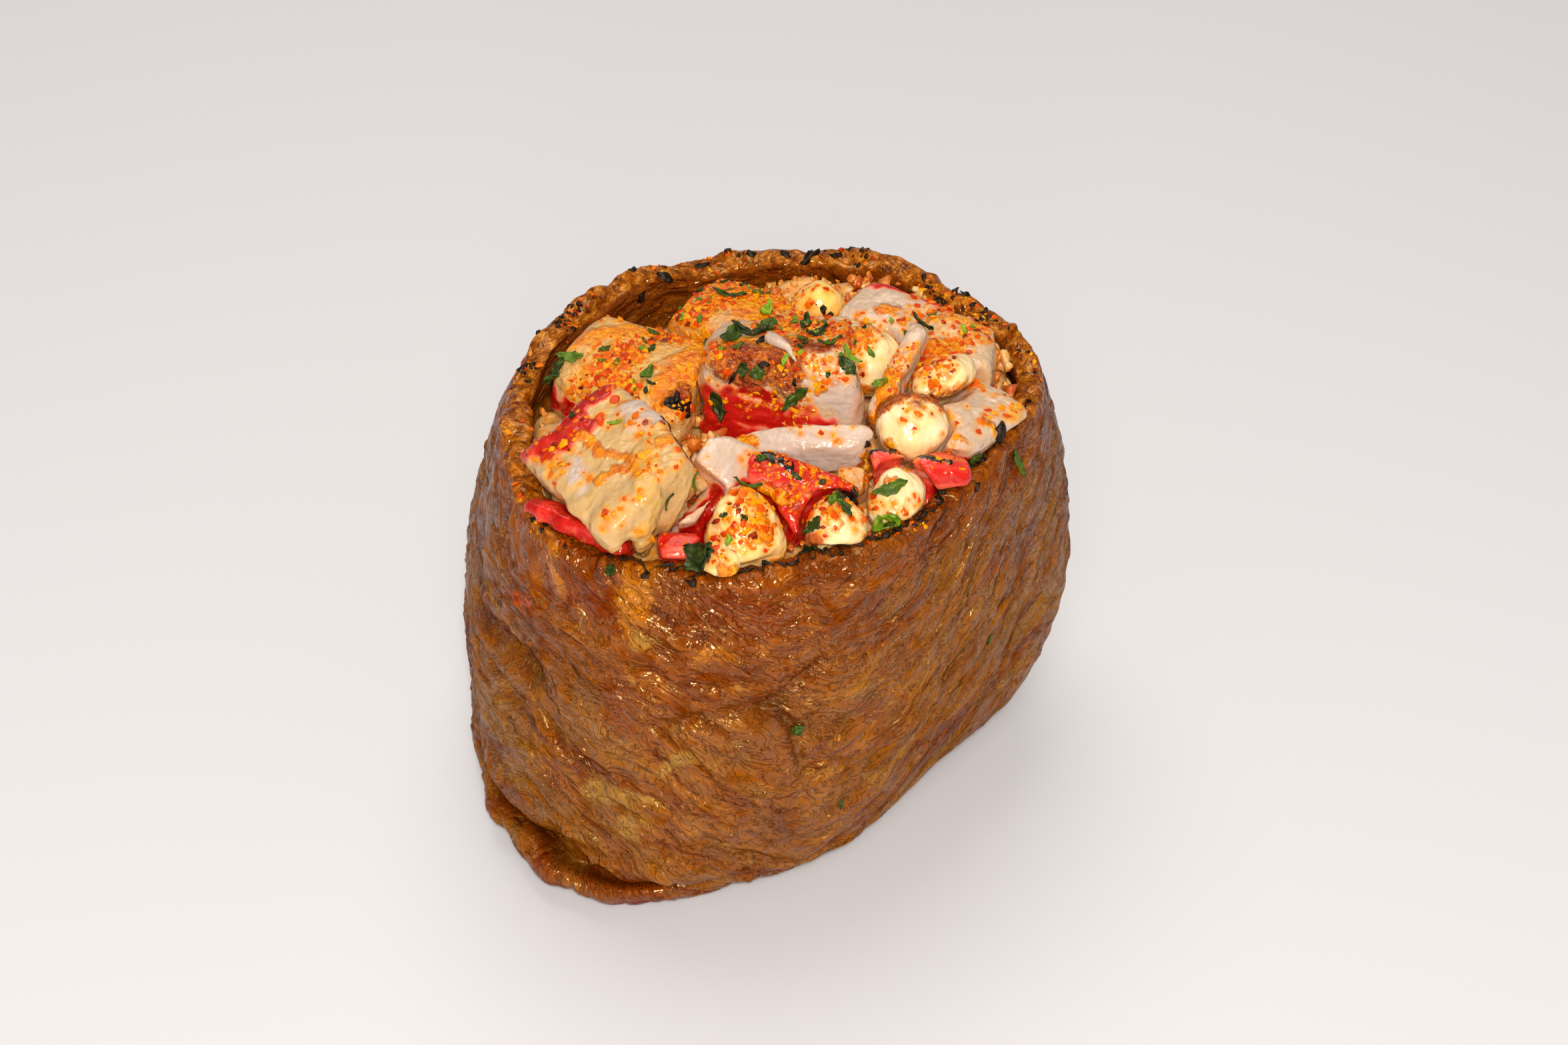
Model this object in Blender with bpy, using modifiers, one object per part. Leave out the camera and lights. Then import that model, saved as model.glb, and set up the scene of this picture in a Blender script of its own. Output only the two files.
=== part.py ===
"""Inari sushi: an open pouch of simmered fried tofu, filled to the brim and topped with torched crab stick.

Metres, +Z up. +X is the long way of the pouch, and its folded closed end is at -X. The origin is under the
middle of the pouch, on the table. The topping lies as a heap: a piece that lies on another keeps its shape,
and the piece below it is hollowed to fit, with a narrow gap all round.
"""

import math

import bmesh
import bpy
from mathutils import Euler, Vector, noise

MM = 0.001
GAP = 0.5 * MM

# The pouch: half sizes of its oval, how square its plan is, and its heights.
POUCH_HALF_LENGTH = 30.6 * MM
POUCH_HALF_WIDTH = 26.6 * MM
POUCH_SQUARENESS = 2.25
POUCH_HEIGHT = 42.0 * MM
WIDEST_HEIGHT = 19.0 * MM
MOUTH_INSET = 3.4 * MM
BOTTOM_INSET = 0.8 * MM
BOTTOM_ROUNDING = 6.5 * MM
SKIN_THICKNESS = 2.7 * MM
RIM_ROUNDING = 0.7 * MM
SKIN_RIPPLE = 0.9 * MM
SIDES = 42
LOW_LEVELS = (0.0, 0.6, 1.9, 3.4, 5.0, 6.6, 8.6)
HIGH_LEVELS = (12.0, 19.0, 26.5, 34.5, 42.0)

# The wall below is pushed about, and this brings the middle of its box back over the origin.
PLAN_SHIFT = Vector((0.18, 0.26, 0.0)) * MM

# Where the soft wall strays from its oval: (turn and spread in degrees, then how far it is pushed
# outwards at the table, at its widest level and at the mouth, in millimetres).
WALL_PUSHES = (
    (146.0, 36.0, -0.8, -2.8, -4.0),
    (318.0, 26.0, 0.0, 2.2, 2.4),
    (284.0, 55.0, -8.2, 0.0, 0.0),
    (188.0, 20.0, 0.0, 0.0, 1.4),
    (258.0, 28.0, 0.0, 0.0, 2.2),
    (40.0, 40.0, 0.0, 0.0, -0.8),
)

# The torn mouth: waves round its edge (height in millimetres, waves round, start in degrees), and the
# dip at its back (turn and spread in degrees, depth in millimetres).
RIM_WAVES = ((0.35, 5.0, 40.0), (0.25, 11.0, 0.0))
RIM_DIP = (40.0, 45.0, 1.3)

# The folded end: a lip along the table under a crease, round this turn of the wall.
FOLD_TURN = 190.0
FOLD_SPREAD = 24.0
LIP_HEIGHT = 2.6 * MM
LIP_REACH = 2.2 * MM
LIP_PUSH = 3.4 * MM
CREASE_HEIGHT = 6.6 * MM
CREASE_FALL = 3.2 * MM
CREASE_REACH = 1.3 * MM
CREASE_DEPTH = 2.4 * MM

# The crumbly bed under the topping: its level, its clearance to the skin, and the hollow at the back.
BED_LEVEL = 39.2 * MM
BED_CLEARANCE = 0.9 * MM
BED_FOOT_CLEARANCE = 4.2 * MM
BED_SIDES = 24
BED_LEVELS = (4.4, 7.5, 12.0, 20.0, 30.0, 39.5)
BED_FULL_LEVEL = 20.0
BED_RING_SHRINKS = (0.85, 0.7, 0.5)
HOLLOW_PLACE = (2.0, 17.0)
HOLLOW_SPREAD = (15.0, 5.5)
HOLLOW_DEPTH = 6.0 * MM

# The topping lies on the bed, and a slab of this size takes away everything lower than this level.
TOPPING_FLOOR = BED_LEVEL + 0.4 * MM
FLOOR_SLAB = Vector((0.1, 0.1, 0.02))

# How uneven the pieces are, how close a large block's loops lie to its edges (0.5 is on the edge),
# and how sharp a small block's edges stay.
UNEVENNESS = 0.13
BLOCK_LOOP = 0.3
EDGE_SHARPNESS = 0.28

# A blob's cage, for a blob 1 wide, how uneven it is beside a block, and how far its peak is drawn up.
BLOB_CAGE_RADIUS = 0.56
BLOB_UNEVENNESS = 0.6
PEAK_DRAW = 0.6

COLOURS = {
    "tofu_skin": ((0.34, 0.105, 0.018), 0.38),
    "crumb": ((0.78, 0.52, 0.27), 0.55),
    "crab_white": ((0.86, 0.72, 0.58), 0.35),
    "crab_red": ((0.62, 0.03, 0.025), 0.3),
    "mayonnaise": ((0.9, 0.74, 0.45), 0.25),
}

# Blocks of crab stick, uppermost first: name, colour, middle and size in millimetres, then roll, pitch
# and turn in degrees, how much the far end narrows, how much the block bows, and whether it is a large one.
CRAB_BLOCKS = (
    ("crab_strip_right", "crab_white", (7.9, -12.2, 46.1), (12.0, 3.4, 2.4), (0, -17, 18), 0.2, 0.1, False),
    ("crab_strip_centre", "crab_white", (-4.2, -9.7, 43.9), (16, 4.6, 3.4), (14, -5, -61), -0.25, 0.15, False),
    ("crab_centre", "crab_red", (2.3, -3.2, 43.4), (9.6, 15.4, 9.6), (-4, 12, 34), 0.15, 0.1, True),
    ("crab_left_under", "crab_red", (-24.6, -3.2, 41.4), (3.6, 12.0, 3.4), (0, 24, 9), 0.1, 0.0, False),
    ("crab_red_rim", "crab_red", (-20.2, -12.2, 41.9), (5.0, 3.2, 3.0), (20, 0, -46), 0.2, 0.2, False),
    ("crab_left", "crab_white", (-18.8, -2.2, 43.8), (11.6, 16.4, 6.6), (-6, -19, -13), 0.1, 0.1, True),
    ("crab_back_left", "crab_white", (-5.4, 8.6, 40.8), (12.0, 15.6, 7.2), (3, -6, 17), 0.15, 0.1, False),
    ("crab_standing", "crab_white", (-14.4, -9.8, 43.4), (12.0, 5.4, 4.0), (18, -23, 20), -0.15, 0.1, False),
    ("crab_shred", "crab_white", (-3.4, -17.0, 42.4), (5.4, 2.8, 2.6), (0, 50, 30), 0.2, 0.1, False),
    ("crab_red_front", "crab_red", (-9.8, -15.6, 43.2), (11.6, 7.4, 4.0), (33, 9, -62), 0.1, 0.15, False),
    ("crab_red_right", "crab_red", (1.2, -20.5, 41.7), (10.2, 3.2, 6.0), (0, 10, -42), 0.05, 0.0, False),
    ("crab_slab_right", "crab_white", (9.8, -19.4, 42.9), (11.8, 6.2, 3.8), (12, 5, 2), -0.1, 0.1, False),
    ("crab_back", "crab_white", (7.0, 7.2, 40.6), (9.6, 13.0, 7.8), (0, 4, 12), 0.1, 0.1, False),
    ("crab_back_right", "crab_white", (17.3, -3.6, 41.0), (8.0, 11.2, 6.8), (0, -4, 12), 0.1, 0.1, False),
    ("crab_right", "crab_white", (15.3, -12.5, 41.4), (11.6, 7.4, 8.2), (0, -2, 33), -0.1, 0.1, False),
)

# Blobs of mayonnaise, uppermost first: name, middle and size in millimetres, lean of the peak in
# millimetres, and how much the peak is drawn out.
MAYONNAISE_BLOBS = (
    ("mayo_ball", (4.0, -17.3, 45.0), (7.0, 6.6, 5.8), (0.2, 0.2), 0.1),
    ("mayo_streak", (10.4, -15.6, 46.2), (8.0, 4.4, 3.4), (0.0, 0.0), 0.1),
    ("mayo_ridge", (10.1, -5.6, 43.6), (7.4, 9.6, 6.4), (0.0, 0.0), 0.15),
    ("mayo_cone", (-15.6, -15.2, 42.6), (8.0, 7.8, 7.0), (0.9, 1.4), 0.55),
    ("mayo_front", (-9.2, -20.2, 42.3), (6.4, 5.8, 5.4), (0.4, 0.8), 0.2),
    ("mayo_front_right", (-1.9, -21.4, 42.2), (7.0, 5.4, 5.8), (0.2, 0.8), 0.3),
    ("mayo_back", (14.2, 3.9, 41.9), (6.0, 6.4, 6.0), (0.6, 0.6), 0.3),
    ("mayo_drip", (-19.5, -16.1, 42.6), (4.6, 4.6, 3.4), (0.0, 0.0), 0.0),
)


def clear_scene():
    for item in list(bpy.data.objects):
        bpy.data.objects.remove(item)


def new_collection(name):
    collection = bpy.data.collections.new(name)
    bpy.context.scene.collection.children.link(collection)
    return collection


def new_object(name, builder, collection):
    """An object holding the mesh that was made in the builder, which is freed."""
    mesh = bpy.data.meshes.new(name)
    builder.to_mesh(mesh)
    builder.free()
    mesh.shade_smooth()
    item = bpy.data.objects.new(name, mesh)
    collection.objects.link(item)
    return item


def paint(item, slot):
    colour, roughness = COLOURS[slot]
    material = bpy.data.materials.new(f"{item.name}_{slot}")
    material.use_nodes = True
    shader = material.node_tree.nodes["Principled BSDF"]
    shader.inputs["Base Color"].default_value = (*colour, 1.0)
    shader.inputs["Roughness"].default_value = roughness
    shader.inputs["Metallic"].default_value = 0.0
    item.data.materials.append(material)


def bell(away):
    """1 in the middle, fading to 0 on both sides."""
    return math.exp(-(away**2))


def turn_bell(turn, centre, spread):
    """A bell round the axis: 1 at the centre turn and faded at the spread from it, all in degrees."""
    away = (turn - centre + 180.0) % 360.0 - 180.0
    return bell(away / spread)


def direction(turn):
    return Vector((math.cos(math.radians(turn)), math.sin(math.radians(turn)), 0.0))


def oval_radius(turn):
    """Distance from the axis to the oval that the pouch follows, at this turn in degrees."""
    out = direction(turn)
    along = abs(out.x) / POUCH_HALF_LENGTH
    across = abs(out.y) / POUCH_HALF_WIDTH
    return (along**POUCH_SQUARENESS + across**POUCH_SQUARENESS) ** (-1.0 / POUCH_SQUARENESS)


def wall_push(level, turn):
    """How far the wall strays outwards from its oval."""
    total = 0.0
    for centre, spread, at_table, at_widest, at_mouth in WALL_PUSHES:
        if level < WIDEST_HEIGHT:
            rise = level / WIDEST_HEIGHT
            push = at_table + (at_widest - at_table) * rise * (2.0 - rise)
        else:
            rise = (level - WIDEST_HEIGHT) / (POUCH_HEIGHT - WIDEST_HEIGHT)
            push = at_widest + (at_mouth - at_widest) * rise
        total += push * MM * turn_bell(turn, centre, spread)
    return total


def wall_inset(level):
    """How far the wall stands in from its oval: round at the bottom, narrower towards the mouth."""
    if level > WIDEST_HEIGHT:
        return MOUTH_INSET * ((level - WIDEST_HEIGHT) / (POUCH_HEIGHT - WIDEST_HEIGHT)) ** 2
    inset = BOTTOM_INSET * ((WIDEST_HEIGHT - level) / WIDEST_HEIGHT) ** 2
    rise = max(BOTTOM_ROUNDING - level, 0.0)
    return inset + BOTTOM_ROUNDING - math.sqrt(BOTTOM_ROUNDING**2 - rise**2)


def fold_push(level, turn):
    """The lip of the folded end pushes the wall out, and the crease above the lip draws it in."""
    fold = turn_bell(turn, FOLD_TURN, FOLD_SPREAD)
    crease_level = CREASE_HEIGHT - CREASE_FALL * max((turn - FOLD_TURN) / FOLD_SPREAD, 0.0)
    lip = LIP_PUSH * bell((level - LIP_HEIGHT) / LIP_REACH)
    crease = CREASE_DEPTH * bell((level - crease_level) / CREASE_REACH)
    return fold * (lip - crease)


def rim_height(turn):
    """The mouth is torn a little unevenly, and is lowest at the back."""
    wave = sum(rise * math.sin(math.radians(count * turn + start)) for rise, count, start in RIM_WAVES)
    dip_turn, dip_spread, dip_depth = RIM_DIP
    return POUCH_HEIGHT + (wave - dip_depth * turn_bell(turn, dip_turn, dip_spread)) * MM


def wall_point(level, turn, inset=0.0):
    """A point of the outer skin, or of a surface this far inside it."""
    height = level * rim_height(turn) / POUCH_HEIGHT
    out = direction(turn)
    ripple = SKIN_RIPPLE * noise.noise(Vector((2.4 * out.x, 2.4 * out.y, 60.0 * height)))
    radius = oval_radius(turn) + wall_push(level, turn) - wall_inset(level) + fold_push(level, turn)
    return out * (radius + ripple - inset) + Vector((0.0, 0.0, height)) + PLAN_SHIFT


def raise_rings(builder, ring_points):
    """A cup: a flat first ring filled with one face, and a wall raised through the other rings."""
    bmesh.ops.create_circle(builder, cap_ends=True, segments=len(ring_points[0]), radius=1.0)
    ring = sorted(builder.verts, key=lambda vert: math.atan2(vert.co.y, vert.co.x) % math.tau)
    for vert, point in zip(ring, ring_points[0]):
        vert.co = point
    for points in ring_points[1:]:
        members = set(ring)
        edges = [edge for edge in builder.edges if members.issuperset(edge.verts)]
        raised = bmesh.ops.extrude_edge_only(builder, edges=edges)["geom"]
        copies = {tuple(item.co): item for item in raised if isinstance(item, bmesh.types.BMVert)}
        ring = [copies[tuple(vert.co)] for vert in ring]
        for vert, point in zip(ring, points):
            vert.co = point
    return ring


def side_turns(sides):
    return [360.0 * side / sides for side in range(sides)]


def face_outwards(builder):
    bmesh.ops.recalc_face_normals(builder, faces=builder.faces)
    bottom = min(builder.faces, key=lambda face: face.calc_center_median().z)
    if bottom.normal.z > 0.0:
        bmesh.ops.reverse_faces(builder, faces=builder.faces)


def build_pouch(collection):
    """One skin: rings raised from the flat bottom, thickened inwards, with a rounded rim."""
    levels = [level * MM for level in LOW_LEVELS + HIGH_LEVELS]
    builder = bmesh.new()
    turns = side_turns(SIDES)
    raise_rings(builder, [[wall_point(level, turn) for turn in turns] for level in levels])
    face_outwards(builder)
    pouch = new_object("pouch", builder, collection)
    paint(pouch, "tofu_skin")
    skin = pouch.modifiers.new("Skin", "SOLIDIFY")
    skin.thickness = SKIN_THICKNESS
    skin.offset = -1.0
    skin.use_even_offset = True
    rounding = pouch.modifiers.new("Rim rounding", "BEVEL")
    rounding.width = RIM_ROUNDING
    rounding.segments = 2
    rounding.limit_method = "ANGLE"
    rounding.angle_limit = math.radians(60.0)
    return pouch


def bed_height(point):
    """Level of the crumbly bed at a place in the mouth."""
    x = (point.x / MM - HOLLOW_PLACE[0]) / HOLLOW_SPREAD[0]
    y = (point.y / MM - HOLLOW_PLACE[1]) / HOLLOW_SPREAD[1]
    return BED_LEVEL - HOLLOW_DEPTH * bell(math.hypot(x, y))


def build_filling(collection):
    """The bed, from the bottom of the pouch up to the topping, with its top drawn in ring by ring."""
    levels = [level * MM for level in BED_LEVELS]
    turns = side_turns(BED_SIDES)
    rings = []
    for level in levels:
        foot = max(1.0 - level / (BED_FULL_LEVEL * MM), 0.0)
        inset = SKIN_THICKNESS + BED_CLEARANCE + (BED_FOOT_CLEARANCE - BED_CLEARANCE) * foot
        rings.append([wall_point(level, turn, inset) for turn in turns])
    builder = bmesh.new()
    ring = raise_rings(builder, rings)
    for vert in ring:
        vert.co.z = bed_height(vert.co)
    members = set(ring)
    edges = [edge for edge in builder.edges if members.issuperset(edge.verts)]
    for shrink in BED_RING_SHRINKS:
        raised = bmesh.ops.extrude_edge_only(builder, edges=edges)["geom"]
        edges = [item for item in raised if isinstance(item, bmesh.types.BMEdge)]
        for vert in [item for item in raised if isinstance(item, bmesh.types.BMVert)]:
            vert.co.x *= shrink
            vert.co.y *= shrink
            vert.co.z = bed_height(vert.co)
    bmesh.ops.contextual_create(builder, geom=edges)
    face_outwards(builder)
    filling = new_object("filling", builder, collection)
    paint(filling, "crumb")
    return filling


def uneven(point, seed):
    """A repeatable stray for a point of a cage that is 1 wide."""
    place = 1.9 * point + Vector((1.3 * seed, 2.7 * seed, 5.0))
    return UNEVENNESS * Vector([noise.noise(place + Vector((0.0, 0.0, 20.0 * axis))) for axis in range(3)])


def soften(item, levels):
    smooth = item.modifiers.new("Soft form", "SUBSURF")
    smooth.levels = levels
    smooth.render_levels = levels


def move_loop(part):
    """A large block's inner loops, which stand at a sixth of its width, are moved towards its edges."""
    inner = 0.1 < abs(part) < 0.4
    return math.copysign(BLOCK_LOOP, part) if inner else part


def build_block(row, seed, collection):
    """A block of crab stick: a cube caged by loops near its edges, narrowed, bowed and softened."""
    name, slot, middle, size, angles, narrowing, bow, large = row
    builder = bmesh.new()
    bmesh.ops.create_cube(builder, size=1.0)
    if not large:
        sharpness = builder.edges.layers.float.new("crease_edge")
        for edge in builder.edges:
            edge[sharpness] = EDGE_SHARPNESS
    bmesh.ops.subdivide_edges(builder, edges=builder.edges, cuts=2 if large else 1, use_grid_fill=True)
    for vert in builder.verts:
        point = Vector(move_loop(part) for part in vert.co)
        stray = uneven(point, seed)
        point.y *= 1.0 - narrowing * (point.x + 0.5)
        point.z += bow * (0.25 - point.x**2) * 2.0
        point += stray
        vert.co = Vector(part * length * MM for part, length in zip(point, size))
    block = new_object(name, builder, collection)
    paint(block, slot)
    block.location = Vector(middle) * MM
    block.rotation_euler = Euler([math.radians(angle) for angle in angles])
    soften(block, 1)
    return block


def build_blob(row, seed, collection):
    """A blob of mayonnaise: a ball with its peak drawn up and leaning, and slumped at its foot."""
    name, middle, size, lean, peak = row
    builder = bmesh.new()
    bmesh.ops.create_cube(builder, size=1.0)
    bmesh.ops.subdivide_edges(builder, edges=builder.edges, cuts=1, use_grid_fill=True)
    for vert in builder.verts:
        point = vert.co.normalized() * BLOB_CAGE_RADIUS
        stray = BLOB_UNEVENNESS * uneven(point, seed)
        rise = max(point.z, 0.0) / BLOB_CAGE_RADIUS
        point.x *= 1.0 - peak * rise
        point.y *= 1.0 - peak * rise
        point.z *= 1.0 + PEAK_DRAW * peak * rise
        point += stray
        vert.co = Vector(part * length * MM for part, length in zip(point, size))
        vert.co.x += lean[0] * MM * rise
        vert.co.y += lean[1] * MM * rise
    blob = new_object(name, builder, collection)
    paint(blob, "mayonnaise")
    blob.location = Vector(middle) * MM
    soften(blob, 1)
    return blob


def build_floor(collection):
    """A slab that takes away all of the topping that would sink into the bed."""
    builder = bmesh.new()
    bmesh.ops.create_cube(builder, size=1.0)
    bmesh.ops.scale(builder, vec=FLOOR_SLAB, verts=builder.verts)
    middle = TOPPING_FLOOR - FLOOR_SLAB.z / 2.0
    bmesh.ops.translate(builder, vec=(0.0, 0.0, middle), verts=builder.verts)
    floor = new_object("topping_floor", builder, collection)
    floor.hide_render = True
    floor.display_type = "WIRE"
    return floor


def grown_copy(item, collection):
    """The piece's cage, larger by the gap all round: it cuts the pieces that lie under this one."""
    copy = item.copy()
    copy.name = f"{item.name}_room"
    collection.objects.link(copy)
    copy.hide_render = True
    copy.display_type = "WIRE"
    soft_form = copy.modifiers.get("Soft form")
    if soft_form:
        copy.modifiers.remove(soft_form)
    growth = copy.modifiers.new("Gap", "DISPLACE")
    growth.strength = GAP
    growth.mid_level = 0.0
    return copy


def bounds(item):
    """The corners of an evaluated object's box in world space."""
    evaluated = item.evaluated_get(bpy.context.evaluated_depsgraph_get())
    points = [item.matrix_world @ vert.co for vert in evaluated.data.vertices]
    low = Vector(min(point[axis] for point in points) for axis in range(3))
    high = Vector(max(point[axis] for point in points) for axis in range(3))
    return low, high


def boxes_meet(one, other):
    return all(one[0][axis] < other[1][axis] and other[0][axis] < one[1][axis] for axis in range(3))


def cut(piece, cutter):
    """Take the cutter away. The grown pouch folds over itself at its crease, and the exact solver then
    removes all of the piece, so the manifold solver is used."""
    away = piece.modifiers.new(f"Cut by {cutter.name}", "BOOLEAN")
    away.operation = "DIFFERENCE"
    away.solver = "MANIFOLD"
    away.object = cutter


def cut_rooms(pieces, collection):
    """Each piece is hollowed by the grown copies of the pieces that come before it."""
    bpy.context.view_layer.update()
    boxes = [bounds(piece) for piece in pieces]
    rooms = [grown_copy(piece, collection) for piece in pieces]
    bpy.context.view_layer.update()
    room_boxes = [bounds(room) for room in rooms]
    for index, piece in enumerate(pieces):
        for earlier in range(index):
            if boxes_meet(room_boxes[earlier], boxes[index]):
                cut(piece, rooms[earlier])


def main():
    clear_scene()
    parts = new_collection("inari_sushi")
    cutters = new_collection("rooms")
    pouch = build_pouch(parts)
    blobs = [build_blob(row, seed, parts) for seed, row in enumerate(MAYONNAISE_BLOBS)]
    blocks = [build_block(row, 20 + seed, parts) for seed, row in enumerate(CRAB_BLOCKS)]
    build_filling(parts)
    floor = build_floor(cutters)
    for piece in blobs + blocks:
        cut(piece, floor)
    cut_rooms([pouch, *blobs, *blocks], cutters)


main()
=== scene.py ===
# %% [markdown]
# # An open inari sushi
#
# This lesson dresses a simple solid model of an inari sushi: a pouch of simmered fried tofu, filled to the
# brim and topped with torched crab stick, creamy dressing, chilli grains and herb flakes.
#
# The solid model says where everything is and how large it is. Each of its nodes is copied, remeshed finely
# and given its real surface: wrinkles, fibres, torn ends and browning. Small things that the solid model
# leaves out, such as grains and flakes, are then scattered over it.

# %% Load the solid model
import itertools
import math
import random

import bmesh
import bpy
import numpy as np
from mathutils import Euler, Matrix, Vector, bvhtree, kdtree, noise


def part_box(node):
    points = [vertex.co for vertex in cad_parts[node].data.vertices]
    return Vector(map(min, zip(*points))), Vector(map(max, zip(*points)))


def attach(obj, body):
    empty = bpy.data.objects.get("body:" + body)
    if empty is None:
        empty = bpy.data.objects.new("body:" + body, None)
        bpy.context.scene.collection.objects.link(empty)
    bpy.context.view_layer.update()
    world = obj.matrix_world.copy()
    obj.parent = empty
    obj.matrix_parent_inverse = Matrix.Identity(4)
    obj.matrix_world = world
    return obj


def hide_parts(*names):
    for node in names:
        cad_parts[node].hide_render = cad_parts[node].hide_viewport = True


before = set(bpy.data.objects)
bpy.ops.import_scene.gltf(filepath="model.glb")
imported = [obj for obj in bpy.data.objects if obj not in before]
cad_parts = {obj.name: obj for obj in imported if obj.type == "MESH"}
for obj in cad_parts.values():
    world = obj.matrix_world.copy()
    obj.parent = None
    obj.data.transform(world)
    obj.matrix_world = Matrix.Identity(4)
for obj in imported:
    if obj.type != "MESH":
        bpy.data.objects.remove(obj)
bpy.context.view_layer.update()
MM = 0.001

# %% [markdown]
# ## Stage, light and camera
#
# Food is lit softly, so that wet skin shows broad highlights and no hard shadows. One large lamp hangs over
# the sushi and slightly behind it, which makes the tops of the dressing shine. A softbox and a small bulb stand
# high behind the camera, a low lamp beneath them lights the front, and a dim warm surrounding fills the shadows.
# The floor is pale and plain and reaches far beyond the view.
#
# The camera looks down by 40 degrees at the folded end's side, with a lens of about 76 mm, which keeps the
# oval of the mouth natural.


# %% Floor
def make_floor():
    builder = bmesh.new()
    bmesh.ops.create_grid(builder, x_segments=1, y_segments=1, size=3.0)
    mesh = bpy.data.meshes.new("floor")
    builder.to_mesh(mesh)
    builder.free()
    floor = bpy.data.objects.new("floor", mesh)
    bpy.context.scene.collection.objects.link(floor)
    material = bpy.data.materials.new("pale_floor")
    material.use_nodes = True
    shader = material.node_tree.nodes["Principled BSDF"]
    shader.inputs["Base Color"].default_value = (0.66, 0.655, 0.68, 1.0)
    shader.inputs["Roughness"].default_value = 0.6
    mesh.materials.append(material)
    return floor


floor = make_floor()


# %% Lights
def make_lamp(name, place, target, size, watts, colour):
    light = bpy.data.lights.new(name, "AREA")
    light.shape = "DISK"
    light.size = size
    light.energy = watts
    light.color = colour
    lamp = bpy.data.objects.new(name, light)
    bpy.context.scene.collection.objects.link(lamp)
    lamp.location = place
    lamp.rotation_euler = (Vector(target) - Vector(place)).to_track_quat("-Z", "Y").to_euler()
    return lamp


MIDDLE = Vector((0.0, 0.0, 0.025))
make_lamp("key_softbox", (-0.35, -0.33, 0.47), MIDDLE, 0.26, 1.7, (1.0, 0.96, 0.90))
make_lamp("key_bulb", (-0.31, -0.32, 0.46), MIDDLE, 0.05, 2.6, (1.0, 0.97, 0.93))
make_lamp("front_card", (-0.46, -0.40, 0.09), MIDDLE, 0.12, 0.7, (1.0, 0.93, 0.82))
make_lamp("overhead_fill", (0.10, 0.15, 0.50), MIDDLE, 0.4, 1.2, (1.0, 0.96, 0.90))

world = bpy.data.worlds.new("bright_room")
bpy.context.scene.world = world
world.use_nodes = True
world.node_tree.nodes["Background"].inputs["Color"].default_value = (1.0, 0.93, 0.85, 1.0)
world.node_tree.nodes["Background"].inputs["Strength"].default_value = 0.25
bpy.context.scene.view_settings.view_transform = "Standard"
bpy.context.scene.view_settings.look = "None"

# %% Camera
CAMERA_PLACE = Vector((-0.17895, -0.17216, 0.23161))
CAMERA_FORWARD = Vector((0.5635, 0.5255, -0.6374))
CAMERA_UP = Vector((0.4602, 0.4410, 0.7705))
LENS_MM = 76.26


def make_camera():
    camera = bpy.data.objects.new("camera", bpy.data.cameras.new("camera"))
    bpy.context.scene.collection.objects.link(camera)
    camera.data.lens = LENS_MM
    camera.data.sensor_width = 36.0
    camera.data.clip_start = 0.01
    right = CAMERA_FORWARD.cross(CAMERA_UP).normalized()
    up = right.cross(CAMERA_FORWARD).normalized()
    turn = Matrix((right, up, -CAMERA_FORWARD.normalized())).transposed()
    camera.matrix_world = Matrix.Translation(CAMERA_PLACE) @ turn.to_4x4()
    bpy.context.scene.camera = camera
    return camera


camera = make_camera()
print("camera at", [round(part, 3) for part in camera.location])

# %% [markdown]
# ## Fine copies of the solids
#
# A node of the solid model is a coarse closed mesh. To give it wrinkles and fibres as real geometry, its
# copy needs small and even faces. The Remesh modifier in voxel mode makes them, and a Smooth modifier then
# takes away the coarse mesh's corners. Both are applied, so that the points can be moved with NumPy, which
# handles a hundred thousand points at once.


# %% Copying and refining
def copy_of(node):
    """A bmesh of a node's mesh, its loose triangles joined to one skin."""
    builder = bmesh.new()
    builder.from_mesh(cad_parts[node].data)
    bmesh.ops.remove_doubles(builder, verts=builder.verts, dist=0.001 * MM)
    return builder


def new_piece(name, builder):
    """An object made from a bmesh, which is freed. It rides on the one body there is."""
    mesh = bpy.data.meshes.new(name)
    builder.to_mesh(mesh)
    builder.free()
    piece = bpy.data.objects.new(name, mesh)
    bpy.context.scene.collection.objects.link(piece)
    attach(piece, "root")
    return piece


def apply_modifiers(piece):
    evaluated = piece.evaluated_get(bpy.context.evaluated_depsgraph_get())
    mesh = bpy.data.meshes.new_from_object(evaluated)
    piece.modifiers.clear()
    piece.data = mesh
    mesh.shade_smooth()


def refine(piece, voxel, rounds):
    """Even faces of about this size, smoothed this many times."""
    remesh = piece.modifiers.new("Even faces", "REMESH")
    remesh.mode = "VOXEL"
    remesh.voxel_size = voxel
    smooth = piece.modifiers.new("Round off", "SMOOTH")
    smooth.factor = 0.5
    smooth.iterations = rounds
    apply_modifiers(piece)


def points_of(piece):
    flat = np.empty(3 * len(piece.data.vertices))
    piece.data.vertices.foreach_get("co", flat)
    return flat.reshape(-1, 3)


def normals_of(piece):
    flat = np.empty(3 * len(piece.data.vertices))
    piece.data.vertex_normals.foreach_get("vector", flat)
    return flat.reshape(-1, 3)


def move_points(piece, points):
    piece.data.vertices.foreach_set("co", points.ravel())
    piece.data.update()


def add_mask(piece, name, values):
    """Store one number a point, which a material can read by name."""
    layer = piece.data.attributes.new(name, "FLOAT", "POINT")
    layer.data.foreach_set("value", np.clip(values, 0.0, 1.0).astype(np.float32))


# %% [markdown]
# ## Noise
#
# Nothing on food is regular, so nearly every shape here is stirred with noise. The function below gives
# every cell of a grid a repeatable random number and blends between the cells, so that nearby points get
# nearby values. Stretching the points before asking gives streaks, and one minus the noise's absolute
# value gives sharp ridges.


# %% Noise functions
def cell_value(cell, seed):
    """A repeatable number from 0 to 1 for every whole-number cell."""
    mixed = np.sin(cell @ np.array([127.1, 311.7, 74.7]) + 19.19 * seed) * 43758.5453
    return mixed - np.floor(mixed)


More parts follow.
